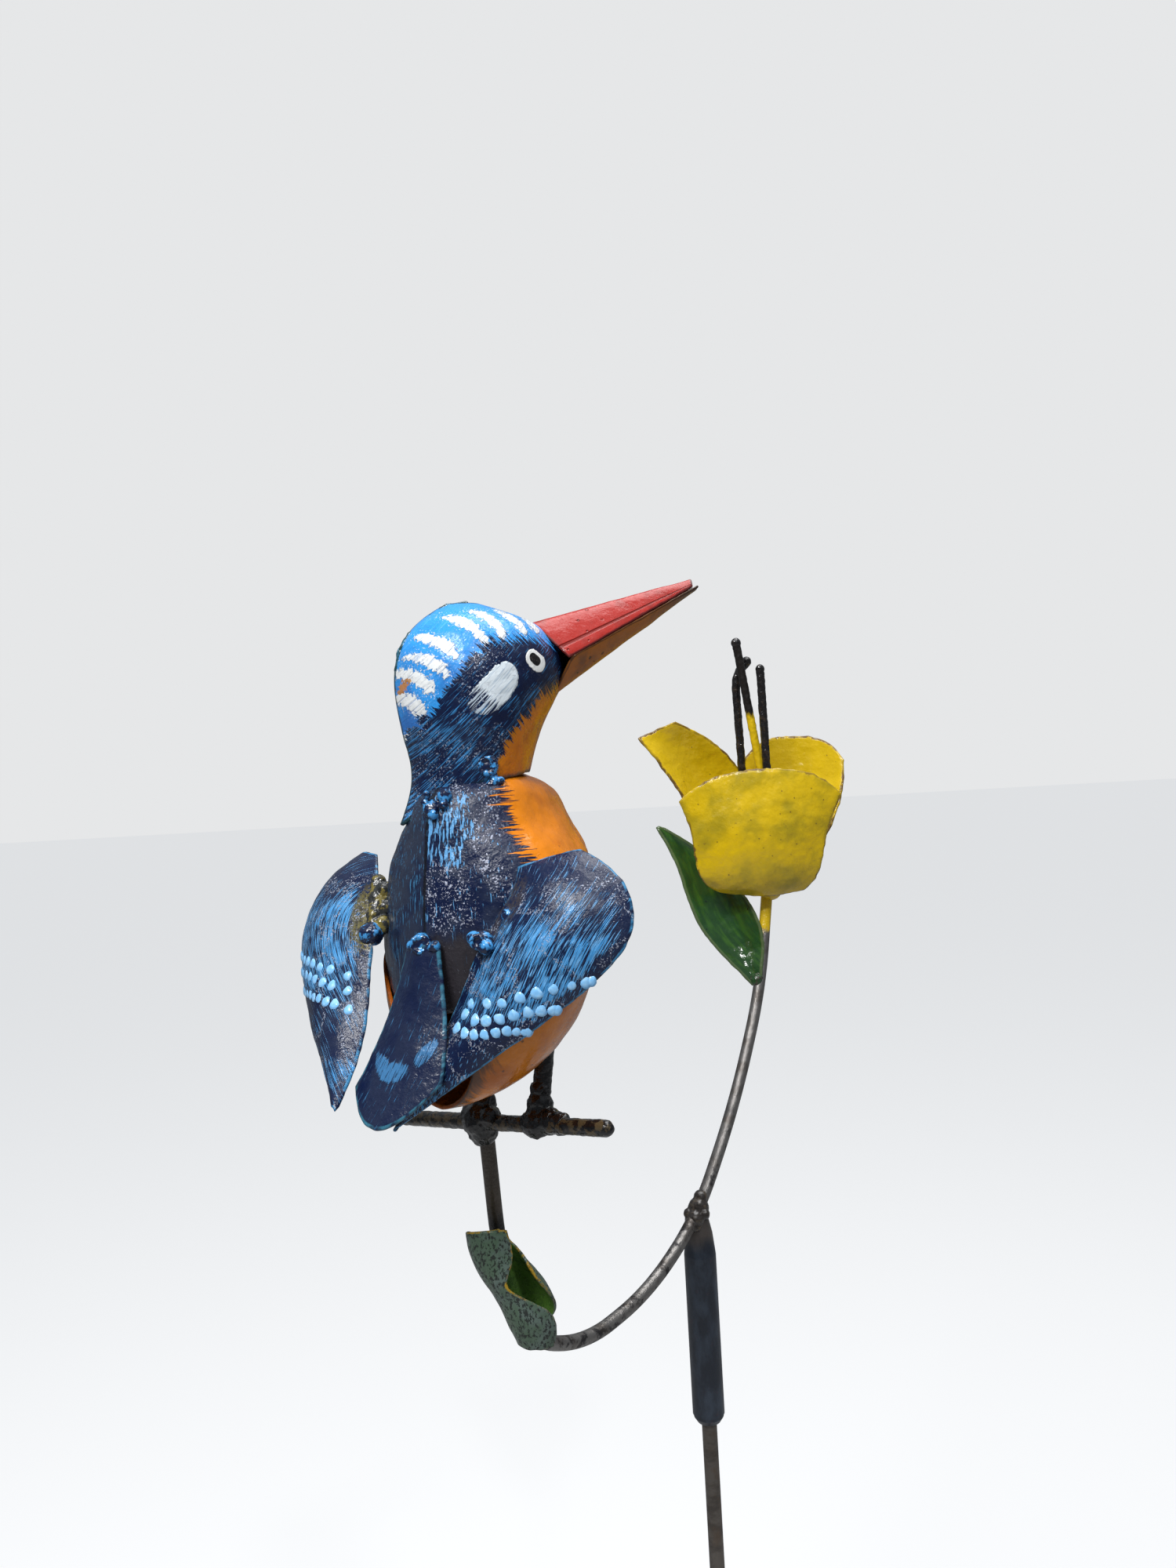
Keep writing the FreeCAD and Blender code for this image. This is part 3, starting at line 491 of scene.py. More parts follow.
def finish_beak(name, main, dark, pits):
    """Gloss enamel on the beak, pitted near the root and darker to the tip."""
    finish = Finish(name, roughness=0.34, coat=0.20, coat_roughness=0.12)
    x, y, z = finish.place()
    g, m, w = finish.read("local")
    across, along, inside = finish.read("chart")
    rim = finish.read("rim")[0]
    mottle = finish.noise((x, y, z), (6.0, 6.0, 6.0), 3.0)
    colour = finish.mix(main, dark, finish.rise(mottle, 0.48, 0.72) * 0.5)
    colour = finish.mix(colour, dark, finish.rise(along, 0.55, 1.0) * (0.2 if pits else 0.8))
    spots = finish.rise(finish.cells((x, y, z), 3.4), 0.20, 0.12) * finish.rise(along, 0.5, 0.2)
    colour = finish.mix(colour, dark, spots * 0.8)
    colour = finish.mix(colour, BLACK, finish.rise(rim + mottle, 0.9, 0.55) * 0.7)
    side = 0.5 - finish.math("ABSOLUTE", across - 0.5)
    groove = finish.rise(finish.math("ABSOLUTE", side - 0.11), 0.025, 0.008) * (1.0 if pits else 0.0)
    colour = finish.mix(colour, dark, groove * 0.8)
    colour = finish.mix(colour, BURNT, inside)
    grain = finish.noise((x, y, z), (2.0, 2.0, 2.0), 3.0, 0.6)
    return finish.done(colour, grain * 0.2 + 0.25,
                       [(spots * -1.0, 0.35), (groove * -1.0, 0.3), (grain, 0.2)])


def finish_petal(name, shade):
    """Yellow gloss enamel with rust specks and dark worn edges."""
    finish = Finish(name, roughness=0.28, coat=0.42, coat_roughness=0.06)
    x, y, z = finish.place()
    inside = finish.read("chart")[2]
    rim = finish.read("rim")[0]
    mottle = finish.noise((x, y, z), (11.0, 11.0, 11.0), 3.0)
    dull = finish.rise(mottle, 0.34, 0.76) * shade
    colour = finish.mix(YELLOW, OLIVE, dull * (1.0 - inside * 0.8))
    specks = finish.rise(finish.cells((x, y, z), 4.2), 0.10, 0.05)
    smudge = finish.rise(finish.noise((x, y, z), (3.5, 3.5, 3.5), 4.0, 0.7, shift=5.5), 0.66, 0.74)
    colour = finish.mix(colour, RUST, finish.larger(specks, smudge * 0.7) * 0.8)
    chips = finish.noise((x, y, z), (2.4, 2.4, 2.4), 3.0, 0.7)
    stretch = finish.rise(finish.noise((x, y, z), (16.0, 16.0, 16.0), 2.0, shift=12.0), 0.40, 0.55)
    edge = finish.rise(rim + chips * 2.6, 1.85, 1.25) * (stretch * 0.75 + 0.25)
    colour = finish.mix(colour, RUST, edge * 0.9)
    grain = finish.noise((x, y, z), (2.6, 2.6, 2.6), 3.0, 0.55)
    return finish.done(colour, grain * 0.2 + edge * 0.3 + 0.16, [(edge * -1.0, 0.15), (grain, 0.30)])


def finish_upper_leaf():
    """Dark green gloss with faint veins along the leaf."""
    finish = Finish("leaf_green", roughness=0.22, coat=0.7, coat_roughness=0.05)
    x, y, z = finish.place()
    rim, width, length = finish.read("rim")
    mottle = finish.noise((width, length), (3.5, 14.0), 2.0)
    colour = finish.mix(GREEN, GREEN_BRIGHT, finish.rise(mottle, 0.42, 0.75) * 0.45)
    specks = finish.rise(finish.cells((x, y, z), 5.0), 0.10, 0.05)
    colour = finish.mix(colour, BLACK, specks * 0.8)
    colour = finish.mix(colour, (0.10, 0.14, 0.06), finish.rise(rim, 0.8, 0.4) * 0.7)
    grain = finish.noise((x, y, z), (2.4, 2.4, 2.4), 3.0)
    return finish.done(colour, grain * 0.15 + 0.10, [(mottle, 0.10), (grain, 0.22)])


def finish_lower_leaf():
    """Thin grey-green over speckled steel outside, bright green inside, yellow worn edges."""
    finish = Finish("leaf_speckled", roughness=0.45, coat=0.25, coat_roughness=0.2)
    x, y, z = finish.place()
    inside = finish.read("chart")[2]
    rim = finish.read("rim")[0]
    drift = finish.noise((x, y, z), (6.0, 6.0, 6.0), 3.0)
    ground = finish.mix(LEAF_GREY, (0.10, 0.14, 0.12), finish.rise(drift, 0.4, 0.65))
    grains = finish.noise((x, y, z), (0.9, 0.9, 1.3), 3.0, 0.7, shift=3.3)
    speckle = finish.rise(grains + (drift - 0.5) * 0.15, 0.52, 0.59)
    colour = finish.mix(ground, SPECK, speckle * 0.9)
    bright = finish.mix((0.085, 0.185, 0.03), (0.045, 0.11, 0.025), finish.rise(drift, 0.45, 0.7))
    colour = finish.mix(colour, bright, inside)
    chips = finish.noise((x, y, z), (2.2, 2.2, 2.2), 3.0, 0.7, shift=8.0)
    fold = finish.rise(z, 538.0, 545.0)
    worn = finish.rise(rim + chips * 3.0, 1.7, 1.25) * (fold * 0.7 + 0.15)
    colour = finish.mix(colour, (0.40, 0.24, 0.01), worn)
    return finish.done(colour, speckle * 0.25 + 0.35, [(speckle * -1.0, 0.22), (drift, 0.2)])


def finish_steel(name, light, dark, band_size, gloss=0.42, metal=0.85, level=0.5):
    """Bare steel with oxide bands, fine pits and a drawn grain."""
    finish = Finish(name, roughness=gloss, metallic=metal)
    x, y, z = finish.place()
    bands = finish.noise((x, y, z), (band_size * 2, band_size * 2, band_size), 4.0, 0.65)
    pits = finish.noise((x, y, z), (0.7, 0.7, 0.7), 3.0, 0.6)
    brown = finish.noise((x, y, z), (7.0, 7.0, 9.0), 3.0, shift=6.0)
    dark_there = finish.rise(bands, level - 0.06, level + 0.12)
    colour = finish.mix(light, dark, dark_there)
    colour = finish.mix(colour, (0.10, 0.065, 0.04), finish.rise(brown, 0.5, 0.72) * 0.55)
    return finish.done(colour, dark_there * 0.12 + pits * 0.3 + gloss - 0.12,
                       [(bands, 0.25), (pits, 0.10)], metal - dark_there * 0.35)


def finish_tube():
    """Satin blue-black tube, weld-burnt brown round its drawn-in top."""
    finish = Finish("tube_skin", roughness=0.42, metallic=0.1, coat=0.1)
    x, y, z = finish.place()
    cloud = finish.noise((x, y, z), (5.0, 5.0, 12.0), 3.0)
    pits = finish.noise((x, y, z), (0.6, 0.6, 0.6), 2.0)
    colour = finish.mix(TUBE, (0.035, 0.05, 0.075), finish.rise(cloud, 0.4, 0.7))
    purple = finish.rise(finish.noise((x, y, z), (3.0, 3.0, 4.0), 3.0, shift=4.0), 0.6, 0.75)
    colour = finish.mix(colour, (0.05, 0.03, 0.045), purple * 0.5)
    burn = finish.rise(z + cloud * 8.0, 513.0, 520.0)
    colour = finish.mix(colour, (0.085, 0.07, 0.06), burn * 0.85)
    return finish.done(colour, pits * 0.2 + 0.32, [(pits, 0.06), (cloud, 0.15)])


def finish_weld(name, ground, light, amount):
    """Enamel brushed over lumpy weld metal, the high spots catching the lighter paint."""
    finish = Finish(name, roughness=0.25, coat=0.7, coat_roughness=0.05)
    x, y, z = finish.place()
    drift = finish.noise((x, y, z), (2.6, 2.6, 2.6), 3.0, 0.6)
    fine = finish.noise((x, y, z), (0.8, 0.8, 0.8), 2.0, 0.6, shift=2.0)
    colour = finish.mix(ground, light, finish.rise(drift, 0.62 - amount * 0.3, 0.72 - amount * 0.3))
    return finish.done(colour, fine * 0.2 + 0.15, [(drift, 0.3), (fine, 0.12)])


def finish_dots():
    """Pale blue raised drops of enamel."""
    finish = Finish("dot_enamel", roughness=0.3, coat=0.5, coat_roughness=0.08)
    x, y, z = finish.place()
    drift = finish.noise((x, y, z), (1.8, 1.8, 1.8), 2.0)
    colour = finish.mix(PALE_BLUE, (0.42, 0.70, 0.95), finish.rise(drift, 0.45, 0.7) * 0.6)
    return finish.done(colour, drift * 0.2 + 0.2, [(drift, 0.15)])


def finish_belly():
    """Orange enamel below, burnt and brushed dark at the rump and the rim."""
    finish = Finish("belly_enamel", roughness=0.30, coat=0.5, coat_roughness=0.07)
    u, v, w = finish.read("local")
    x, y, z = finish.place()
    inside = finish.read("chart")[2]
    deep = finish.noise((x, y, z), (10.0, 10.0, 10.0), 3.0, shift=8.0)
    colour = finish.mix(ORANGE, ORANGE_DEEP, finish.rise(deep, 0.42, 0.68) * 0.7)
    hairs = finish.noise((v, w), (0.9, 9.0), 2.0, 0.7)
    rump = finish.rise(u + (hairs - 0.5) * 10.0, -25.5, -29.5)
    colour = finish.mix(colour, BURNT, rump * 0.8)
    colour = finish.mix(colour, RUST, finish.rise(finish.cells((x, y, z), 6.0), 0.10, 0.04) * 0.8)
    colour = finish.mix(colour, BLACK, worn_edge(finish, 0.8) * 0.6)
    colour = finish.mix(colour, finish.mix(ORANGE_DEEP, BURNT, finish.rise(deep, 0.5, 0.7) * 0.5), inside)
    grain = finish.noise((x, y, z), (2.4, 2.4, 2.4), 3.0)
    return finish.done(colour, grain * 0.2 + 0.18, [(grain, 0.25)])


# ---------------------------------------------------------------- mesh helpers
def spline_weights(count, samples, degree=3):
    """Weights of the poles of a clamped cubic spline at evenly spaced samples."""
    spans = count - degree
    knots = [0] * degree + list(range(spans + 1)) + [spans] * degree
    weights = np.zeros((samples, count))
    for row, part in enumerate(np.linspace(0.0, 1.0, samples)):
        at = min(part * spans, spans - 1e-9)
        terms = [1.0 if knots[i] <= at < knots[i + 1] else 0.0 for i in range(len(knots) - 1)]
        for order in range(1, degree + 1):
            raised = []
            for i in range(len(terms) - 1):
                rising = knots[i + order] - knots[i]
                falling = knots[i + order + 1] - knots[i + 1]
                value = terms[i] * (at - knots[i]) / rising if rising else 0.0
                value += terms[i + 1] * (knots[i + order + 1] - at) / falling if falling else 0.0
                raised.append(value)
            terms = raised
        weights[row] = terms
    return weights


def grid_normals(grid):
    """Unit normals of an array of points, from its neighbours along and across."""
    along = np.gradient(grid, axis=0)
    across = np.gradient(grid, axis=1)
    normal = np.cross(along, across)
    return normal / np.linalg.norm(normal, axis=2, keepdims=True)


def neighbour_normals(grid):
    """Normals of the poles exactly as the formed sheets offset their inner faces."""
    along = np.empty_like(grid)
    across = np.empty_like(grid)
    along[1:-1] = grid[2:] - grid[:-2]
    along[0], along[-1] = grid[1] - grid[0], grid[-1] - grid[-2]
    across[:, 1:-1] = grid[:, 2:] - grid[:, :-2]
    across[:, 0], across[:, -1] = grid[:, 1] - grid[:, 0], grid[:, -1] - grid[:, -2]
    normal = np.cross(along, across)
    return normal / np.linalg.norm(normal, axis=2, keepdims=True)


def run_lengths(grid, axis):
    """Distance along the rows or columns from their first point."""
    steps = np.linalg.norm(np.diff(grid, axis=axis), axis=2)
    total = np.cumsum(steps, axis=axis)
    start = np.zeros_like(np.take(total, [0], axis=axis))
    return np.concatenate([start, total], axis=axis)


def ripple(point, size, seed):
    """Smooth noise from about -1 to 1 at a point, of the given size."""
    return noise.noise(Vector(point) / size + Vector((seed, seed * 0.7, -seed)))


def add_attribute(mesh, name, values):
    layer = mesh.attributes.new(name, "FLOAT_VECTOR", "POINT")
    layer.data.foreach_set("vector", np.asarray(values, dtype=np.float32).ravel())


def link(name, mesh, material, nodes):
    """Put a mesh in the scene as a piece that stands for CAD nodes and rides with the figure."""
    mesh.materials.append(material)
    mesh.shade_smooth()
    piece = bpy.data.objects.new(name, mesh)
    bpy.context.scene.collection.objects.link(piece)
    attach(piece, FIGURE)
    if nodes:
        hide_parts(*nodes)
    return piece


def formed_sheet(name, grid, placement, material, thickness=1.2, step=0.8, dent=0.3,
                 ragged=0.2, swell=0.5, seed=1.0, fade=0.0, shift=None, outside_in=False):
    """Detailed copy of a CAD sheet: same face, hammered, with a rounded and ragged rim."""
    poles = np.array([[list(point) for point in row] for row in grid], dtype=float)
    inner_poles = poles - neighbour_normals(poles) * thickness
    rows = int(run_lengths(poles, 0)[-1].mean() / step) + 2
    columns = int(run_lengths(poles, 1)[:, -1].mean() / step) + 2
    down, over = spline_weights(len(poles), rows), spline_weights(len(poles[0]), columns)
    outer = np.einsum("ai,ijk,bj->abk", down, poles, over)
    inner = np.einsum("ai,ijk,bj->abk", down, inner_poles, over)
    normal = grid_normals(outer)
    length, width = run_lengths(outer, 0), run_lengths(outer, 1)
    edge = np.minimum(np.minimum(length, length[-1:] - length), np.minimum(width, width[:, -1:] - width))
    push = np.zeros((rows, columns, 1))
    for i in range(rows):
        for j in range(columns):
            point = outer[i, j]
            push[i, j] = dent * (ripple(point, 9.0, seed) + 0.35 * ripple(point, 3.2, seed + 5))
    if fade:
        push *= np.clip(edge / fade, 0.0, 1.0)[:, :, None]
    outer += normal * push
    inner += normal * push
    if shift is not None:
        move = shift(outer)
        outer += move
        inner += move

    loop = [(0, j) for j in range(columns)] + [(i, columns - 1) for i in range(1, rows)]
    loop += [(rows - 1, j) for j in range(columns - 2, -1, -1)]
    loop += [(i, 0) for i in range(rows - 2, 0, -1)]
    outward = {}
    for i, j in loop:
        i_in = min(max(i, 1), rows - 2)
        j_in = min(max(j, 1), columns - 2)
        away = outer[i, j] - outer[i_in, j_in]
        outward[i, j] = away / max(np.linalg.norm(away), 1e-6)
    for i, j in loop:
        nick = outward[i, j] * ragged * ripple(outer[i, j], 2.6, seed + 9)
        outer[i, j] += nick
        inner[i, j] += nick

    count = rows * columns
    points = [outer.reshape(-1, 3), inner.reshape(-1, 3)]
    arcs = (0.25, 0.5, 0.75)
    for arc in arcs:
        ring = []
        for i, j in loop:
            middle = (outer[i, j] + inner[i, j]) / 2
            half = (outer[i, j] - inner[i, j]) / 2
            bulge = outward[i, j] * np.linalg.norm(half) * swell * 2
            ring.append(middle + half * math.cos(math.pi * arc) + bulge * math.sin(math.pi * arc))
        points.append(np.array(ring))
    points = np.concatenate(points)

    def at(i, j):
        return i * columns + j

    faces = []
    for i in range(rows - 1):
        for j in range(columns - 1):
            a, b, c, d = at(i, j), at(i + 1, j), at(i + 1, j + 1), at(i, j + 1)
            faces.append((a, b, c, d))
            faces.append((count + d, count + c, count + b, count + a))
    size = len(loop)
    rings = [[at(i, j) for i, j in loop]]
    rings += [[2 * count + k * size + n for n in range(size)] for k in range(len(arcs))]
    rings.append([count + at(i, j) for i, j in loop])
    for near, far in zip(rings, rings[1:]):
        for n in range(size):
            after = (n + 1) % size
            faces.append((near[n], near[after], far[after], far[n]))

    place_array = np.array(placement)
    world = (points @ place_array[:3, :3].T + place_array[:3, 3]) * MM
    mesh = bpy.data.meshes.new(name)
    mesh.from_pydata(world.tolist(), [], faces)
    across = width / np.maximum(width[:, -1:], 1e-6)
    along = length / np.maximum(length[-1:], 1e-6)
    flat = np.stack([across, along, np.zeros_like(across)], axis=2).reshape(-1, 3)
    back = flat + np.array([0.0, 0.0, 1.0])
    if outside_in:
        flat, back = back, flat
    border = np.array([flat[at(i, j)] for i, j in loop])
    add_attribute(mesh, "chart", np.concatenate([flat, back] + [border] * len(arcs)))
    ruler = np.stack([edge, width, length], axis=2).reshape(-1, 3)
    border = np.array([ruler[at(i, j)] for i, j in loop])
    add_attribute(mesh, "rim", np.concatenate([ruler, ruler] + [border] * len(arcs)))
    add_attribute(mesh, "local", points)
    mesh.validate()
    return link(name + "_skin", mesh, material, [name])


def lump(name, balls, placement, material, voxel=0.4, rough=0.2, seed=1.0, nodes=None):
    """Weld metal or rod: balls melted together, then roughened."""
    made = bpy.data.meshes.new(name + "_balls")
    vertices, faces = [], []
    rings, spokes = 10, 16
    for x, y, z, radius in balls:
        first = len(vertices)
        vertices.append((x, y, z + radius))
        for i in range(1, rings):
            tilt = math.pi * i / rings
            for j in range(spokes):
                turn = 2 * math.pi * j / spokes
                vertices.append((x + radius * math.sin(tilt) * math.cos(turn),
                                 y + radius * math.sin(tilt) * math.sin(turn),
                                 z + radius * math.cos(tilt)))
        vertices.append((x, y, z - radius))
        last = len(vertices) - 1
        for j in range(spokes):
            after = (j + 1) % spokes
            faces.append((first, first + 1 + j, first + 1 + after))
            base = first + 1 + (rings - 2) * spokes
            faces.append((base + j, last, base + after))
            for i in range(rings - 2):
                near = first + 1 + i * spokes
                faces.append((near + j, near + spokes + j, near + spokes + after, near + after))
    made.from_pydata(vertices, [], faces)
    maker = bpy.data.objects.new(name + "_maker", made)
    bpy.context.scene.collection.objects.link(maker)
    remesh = maker.modifiers.new("melt", "REMESH")
    remesh.mode = "VOXEL"
    remesh.voxel_size = voxel
    soften = maker.modifiers.new("soften", "SMOOTH")
    soften.iterations = 3
    graph = bpy.context.evaluated_depsgraph_get()
    mesh = bpy.data.meshes.new_from_object(maker.evaluated_get(graph))
    mesh.name = name
    bpy.data.objects.remove(maker)
    bpy.data.meshes.remove(made)
    place_array = np.array(placement)
    local = np.array([vertex.co for vertex in mesh.vertices])
    pushes = [rough * (ripple(p, 2.4, seed) + 0.5 * ripple(p, 1.0, seed + 3)) for p in local]
    directions = np.array([vertex.normal for vertex in mesh.vertices])
    local = local + directions * np.array(pushes)[:, None]
    world = (local @ place_array[:3, :3].T + place_array[:3, 3]) * MM
    mesh.vertices.foreach_set("co", world.astype(np.float32).ravel())
    mesh.update()
    mesh.materials.clear()
    return link(name + "_metal", mesh, material, [name] if nodes is None else nodes)


def string_of_balls(start, end, radius, spacing=0.35):
    """Balls close enough along a line to melt into a rod."""
    start, end = Vector(start), Vector(end)
    count = max(2, int((end - start).length / (radius * spacing)) + 1)
    return [(*(start.lerp(end, i / (count - 1))), radius) for i in range(count)]


def ring_of_balls(centre, normal, ring_radius, radius, count=12):
    """Balls in a ring, as the raised rim of a weld crater."""
    centre, normal = Vector(centre), Vector(normal).normalized()
    side = normal.orthogonal().normalized()
    other = normal.cross(side)
    balls = []
    for i in range(count):
        turn = 2 * math.pi * i / count
        point = centre + (side * math.cos(turn) + other * math.sin(turn)) * ring_radius
        balls.append((*point, radius))
    return balls


# ---------------------------------------------------------------- formed shapes
def between(stations, height):
    """Smooth values at a height, from (height, value, ...) stations in falling order."""
    last = len(stations) - 1
    i = 0
    while i < last - 1 and height < stations[i + 1][0]:
        i += 1
    before, start = stations[max(i - 1, 0)], stations[i]
    end, after = stations[i + 1], stations[min(i + 2, last)]
    part = (start[0] - height) / (start[0] - end[0])
    values = []
    for a, b, c, d in zip(before[1:], start[1:], end[1:], after[1:]):
        values.append(0.5 * (2 * b + (c - a) * part + (2 * a - 5 * b + 4 * c - d) * part ** 2
                             + (3 * b - a - 3 * c + d) * part ** 3))
    return values


def section_point(widest, back, front, half_width, angle):
    """Point of a half section with a crease at the back and at the front."""
    behind = angle < math.pi / 2
    reach = widest - back if behind else front - widest
    sharpness = BACK_CREASE if behind else FRONT_CREASE
    return widest - reach * math.cos(angle), half_width * math.sin(angle) ** sharpness


def half_shell(side, stations, top, crowding, widest, bottom_at, turns=12, levels=11):
    """Grid of one half of the torso or head, from the back seam round to the front seam."""
    grid = []
    for i in range(turns + 1):
        angle = math.pi * i / turns
        bottom = bottom_at(math.cos(angle))
        column = []
        for j in range(levels + 1):
            height = top + (bottom - top) * (j / levels) ** crowding
            back, front, half_width = between(stations, height)
            u, v = section_point(widest, back, front, half_width, angle)
            column.append((u, side * v, height))
        grid.append(column if side > 0 else list(reversed(column)))
    return grid


def strip(left_edge, right_edge, bulge, arch=None, roundness=0.5, columns=8):
    """Grid of a strip between two edges, domed by the bulge and ended by the arch."""
    grid = []
    last = len(left_edge) - 1
    for i in range(last + 1):
        left, right = Vector(left_edge[i]), Vector(right_edge[i])
        ahead = Vector(left_edge[min(i + 1, last)]) + Vector(right_edge[min(i + 1, last)])
        behind = Vector(left_edge[max(i - 1, 0)]) + Vector(right_edge[max(i - 1, 0)])
        onward = (ahead - behind).normalized()
        normal = onward.cross(right - left).normalized()
        row = []
        for j in range(columns + 1):
            part = j / columns
            dome = 4 * part * (1 - part)
            lift = arch[i] * dome ** roundness if arch else 0.0
            row.append(left + (right - left) * part + normal * (bulge[i] * dome) + onward * lift)
        grid.append(row)
    return grid


def turned_over(grid):
    """The same grid with its rows reversed, so that its other face is the outer one."""
    return [list(reversed(row)) for row in grid]


# height, back, breast, half width
TORSO = [(109.5, -13.0, 9.0, 9.0), (107.5, -21.0, 18.0, 15.5), (104.0, -26.0, 28.5, 18.6),
         (99.0, -28.6, 34.0, 19.8), (93.5, -29.8, 37.5, 22.6), (84.0, -31.0, 40.5, 30.0),
         (72.0, -32.5, 42.5, 34.5), (58.0, -33.0, 43.5, 35.5), (46.0, -33.0, 40.0, 34.0),
         (34.0, -32.5, 35.0, 31.0)]
TORSO_WIDEST = -9.0
TORSO_TOP = 109.5
FLANK_EDGE = 58.5
FLAP_EDGE = 40.0
BACK_CREASE = 1.2
FRONT_CREASE = 1.7
# forward, half width at the rim, keel height, rim height
HULL = [(-29.5, 15.0, 12.6, 34.0), (-24.0, 27.0, 12.0, 49.0), (-15.0, 34.0, 12.8, 58.0),
        (-4.0, 34.6, 15.5, 58.0), (7.0, 30.5, 19.5, 58.0), (17.0, 23.5, 24.5, 58.0),
        (26.0, 16.0, 31.0, 58.0), (34.0, 8.5, 40.0, 58.0), (39.5, 2.6, 49.0, 58.0)]
# height, nape, face, half width
SKULL = [(161.5, -9.0, 2.0, 3.0), (158.5, -15.0, 14.0, 10.5), (153.0, -21.5, 23.5, 17.0),
         (143.0, -25.6, 29.5, 21.3), (133.0, -26.2, 26.0, 22.5), (124.0, -24.8, 20.5, 21.8),
         (116.0, -23.2, 17.3, 20.0), (108.5, -21.4, 15.2, 18.3), (103.0, -23.0, 15.0, 18.2),
         (95.0, -26.6, 15.0, 18.2)]
SKULL_WIDEST = -2.0
SKULL_TOP = 161.5
COLLAR_EDGE = 106.5
NAPE_EDGE = 95.0


def torso_bottom(cosine):
    """Lower edge of the torso: the flank line, dropping to the flap at the back."""
    return FLANK_EDGE + (FLAP_EDGE - FLANK_EDGE) * max(0.0, cosine) ** 0.5


def skull_bottom(cosine):
    """Lower edge of the head: the collar, lower at the nape and higher at the throat."""
    drop = (NAPE_EDGE - COLLAR_EDGE) * max(0.0, cosine) ** 1.8
    return COLLAR_EDGE + drop + 2.5 * max(0.0, -cosine)


def belly_grid(side, turns=9):
    """Grid of one half of the belly, from the rim down to the keel."""
    grid = []
    for forward, half_width, keel, rim in HULL:
        row = []
        for j in range(turns + 1):
            angle = math.pi / 2 * j / turns
            v = half_width * math.cos(angle)
            row.append((forward, side * v, rim - (rim - keel) * math.sin(angle) ** 1.1))
        grid.append(row if side < 0 else list(reversed(row)))
    return grid


def beak_grid(ridge_root, ridge_tip, edge_root, edge_tip, half_root, half_tip, fullness):
    """Grid of a folded half of the beak: edge, ridge, edge, from root to tip."""
    grid = []
    lengths, turns = 8, 8
    for i in range(lengths + 1):
        part = i / lengths
        ridge = Vector(ridge_root).lerp(Vector(ridge_tip), part)
        edge = Vector(edge_root).lerp(Vector(edge_tip), part)
        half = half_root + (half_tip - half_root) * part
        row = []
        for j in range(turns + 1):
            across = 2 * j / turns - 1
            point = edge + (ridge - edge) * (1 - abs(across) ** fullness)
            row.append(point + Vector((0, half * across, 0)))
        grid.append(row)
    return grid


def nape_slit(side):
    """The head halves stand a little apart behind the crown, where they were never welded."""
    def move(points):
        forward, sideways, height = points[..., 0], points[..., 1], points[..., 2]
        near_seam = np.clip(1.0 - np.abs(sideways) / 5.0, 0.0, 1.0)
        opening = 1.1 * np.exp(-((height - 144.0) / 6.5) ** 2) * near_seam * (forward < -10.0)
        result = np.zeros_like(points)
        result[..., 1] = side * opening
        return result
    return move


def make_body():
    enamel = finish_body()
    for side, name in ((1, "body_left_half"), (-1, "body_right_half")):
        grid = half_shell(side, TORSO, TORSO_TOP, 1.5, TORSO_WIDEST, torso_bottom)
        formed_sheet(name, grid, BIRD, enamel, fade=5.0, dent=0.55, swell=0.15,
                     ragged=0.1, step=0.7)
    orange = finish_belly()
    for side, name in ((1, "belly_left_half"), (-1, "belly_right_half")):
        formed_sheet(name, belly_grid(side), BIRD, orange, fade=4.0, swell=0.15,
                     ragged=0.1, seed=3.0, outside_in=True)


def make_head():
    enamel = finish_head()
    for side, name in ((1, "head_left_half"), (-1, "head_right_half")):
        grid = half_shell(side, SKULL, SKULL_TOP, 1.4, SKULL_WIDEST, skull_bottom)
        formed_sheet(name, grid, HEAD, enamel, fade=4.0, dent=0.35, swell=0.2,
                     ragged=0.25, step=0.6, seed=2.0, shift=nape_slit(side))
    upper = beak_grid((17.8, 0, 156.0), (74.2, 0, 169.8), (27.0, 0, 143.9), (73.8, 0, 167.3),
                      9.5, 2.3, 1.7)
    lower = beak_grid((24.0, 0, 132.0), (75.6, 0, 165.8), (28.5, 0, 143.6), (76.0, 0, 166.8),
                      9.0, 2.1, 1.6)
    formed_sheet("upper_beak", upper, HEAD, finish_beak("beak_red", RED, RED_DARK, True),
                 thickness=0.8, step=0.5, dent=0.2, ragged=0.15, seed=4.0)
    formed_sheet("lower_beak", turned_over(lower), HEAD,
                 finish_beak("beak_amber", AMBER, BURNT, False),
                 thickness=0.8, step=0.5, dent=0.2, ragged=0.15, seed=5.0)


WING_INNER = [(-15.0, 37.0, 85.0), (-20.5, 31.0, 79.5), (-27.5, 26.2, 71.5), (-32.0, 23.4, 61.0),
              (-36.5, 21.0, 48.0), (-41.5, 17.5, 36.5), (-50.0, 14.5, 25.5), (-58.5, 13.0, 17.5)]
WING_OUTER = [(-12.5, 46.0, 85.5), (-12.5, 58.5, 80.5), (-15.0, 66.5, 70.5), (-20.5, 67.5, 60.5),
              (-28.5, 60.5, 50.0), (-38.5, 46.5, 39.0), (-48.5, 30.0, 28.0), (-58.0, 15.0, 18.0)]
WING_BULGE = [-1.0, -4.0, -7.0, -8.0, -7.0, -5.0, -2.5, -0.4]
RIGHT_ROOT = [(-21.6, -27.2, 81.5), (-22.9, -27.4, 77.5), (-25.4, -24.6, 71.0), (-29.3, -18.2, 61.0)]
TAIL_LEFT = [(-34.6, 5.5, 60.0), (-35.4, 7.5, 52.5), (-38.8, 10.0, 40.0), (-43.8, 12.6, 29.5),
             (-49.0, 15.0, 21.0)]
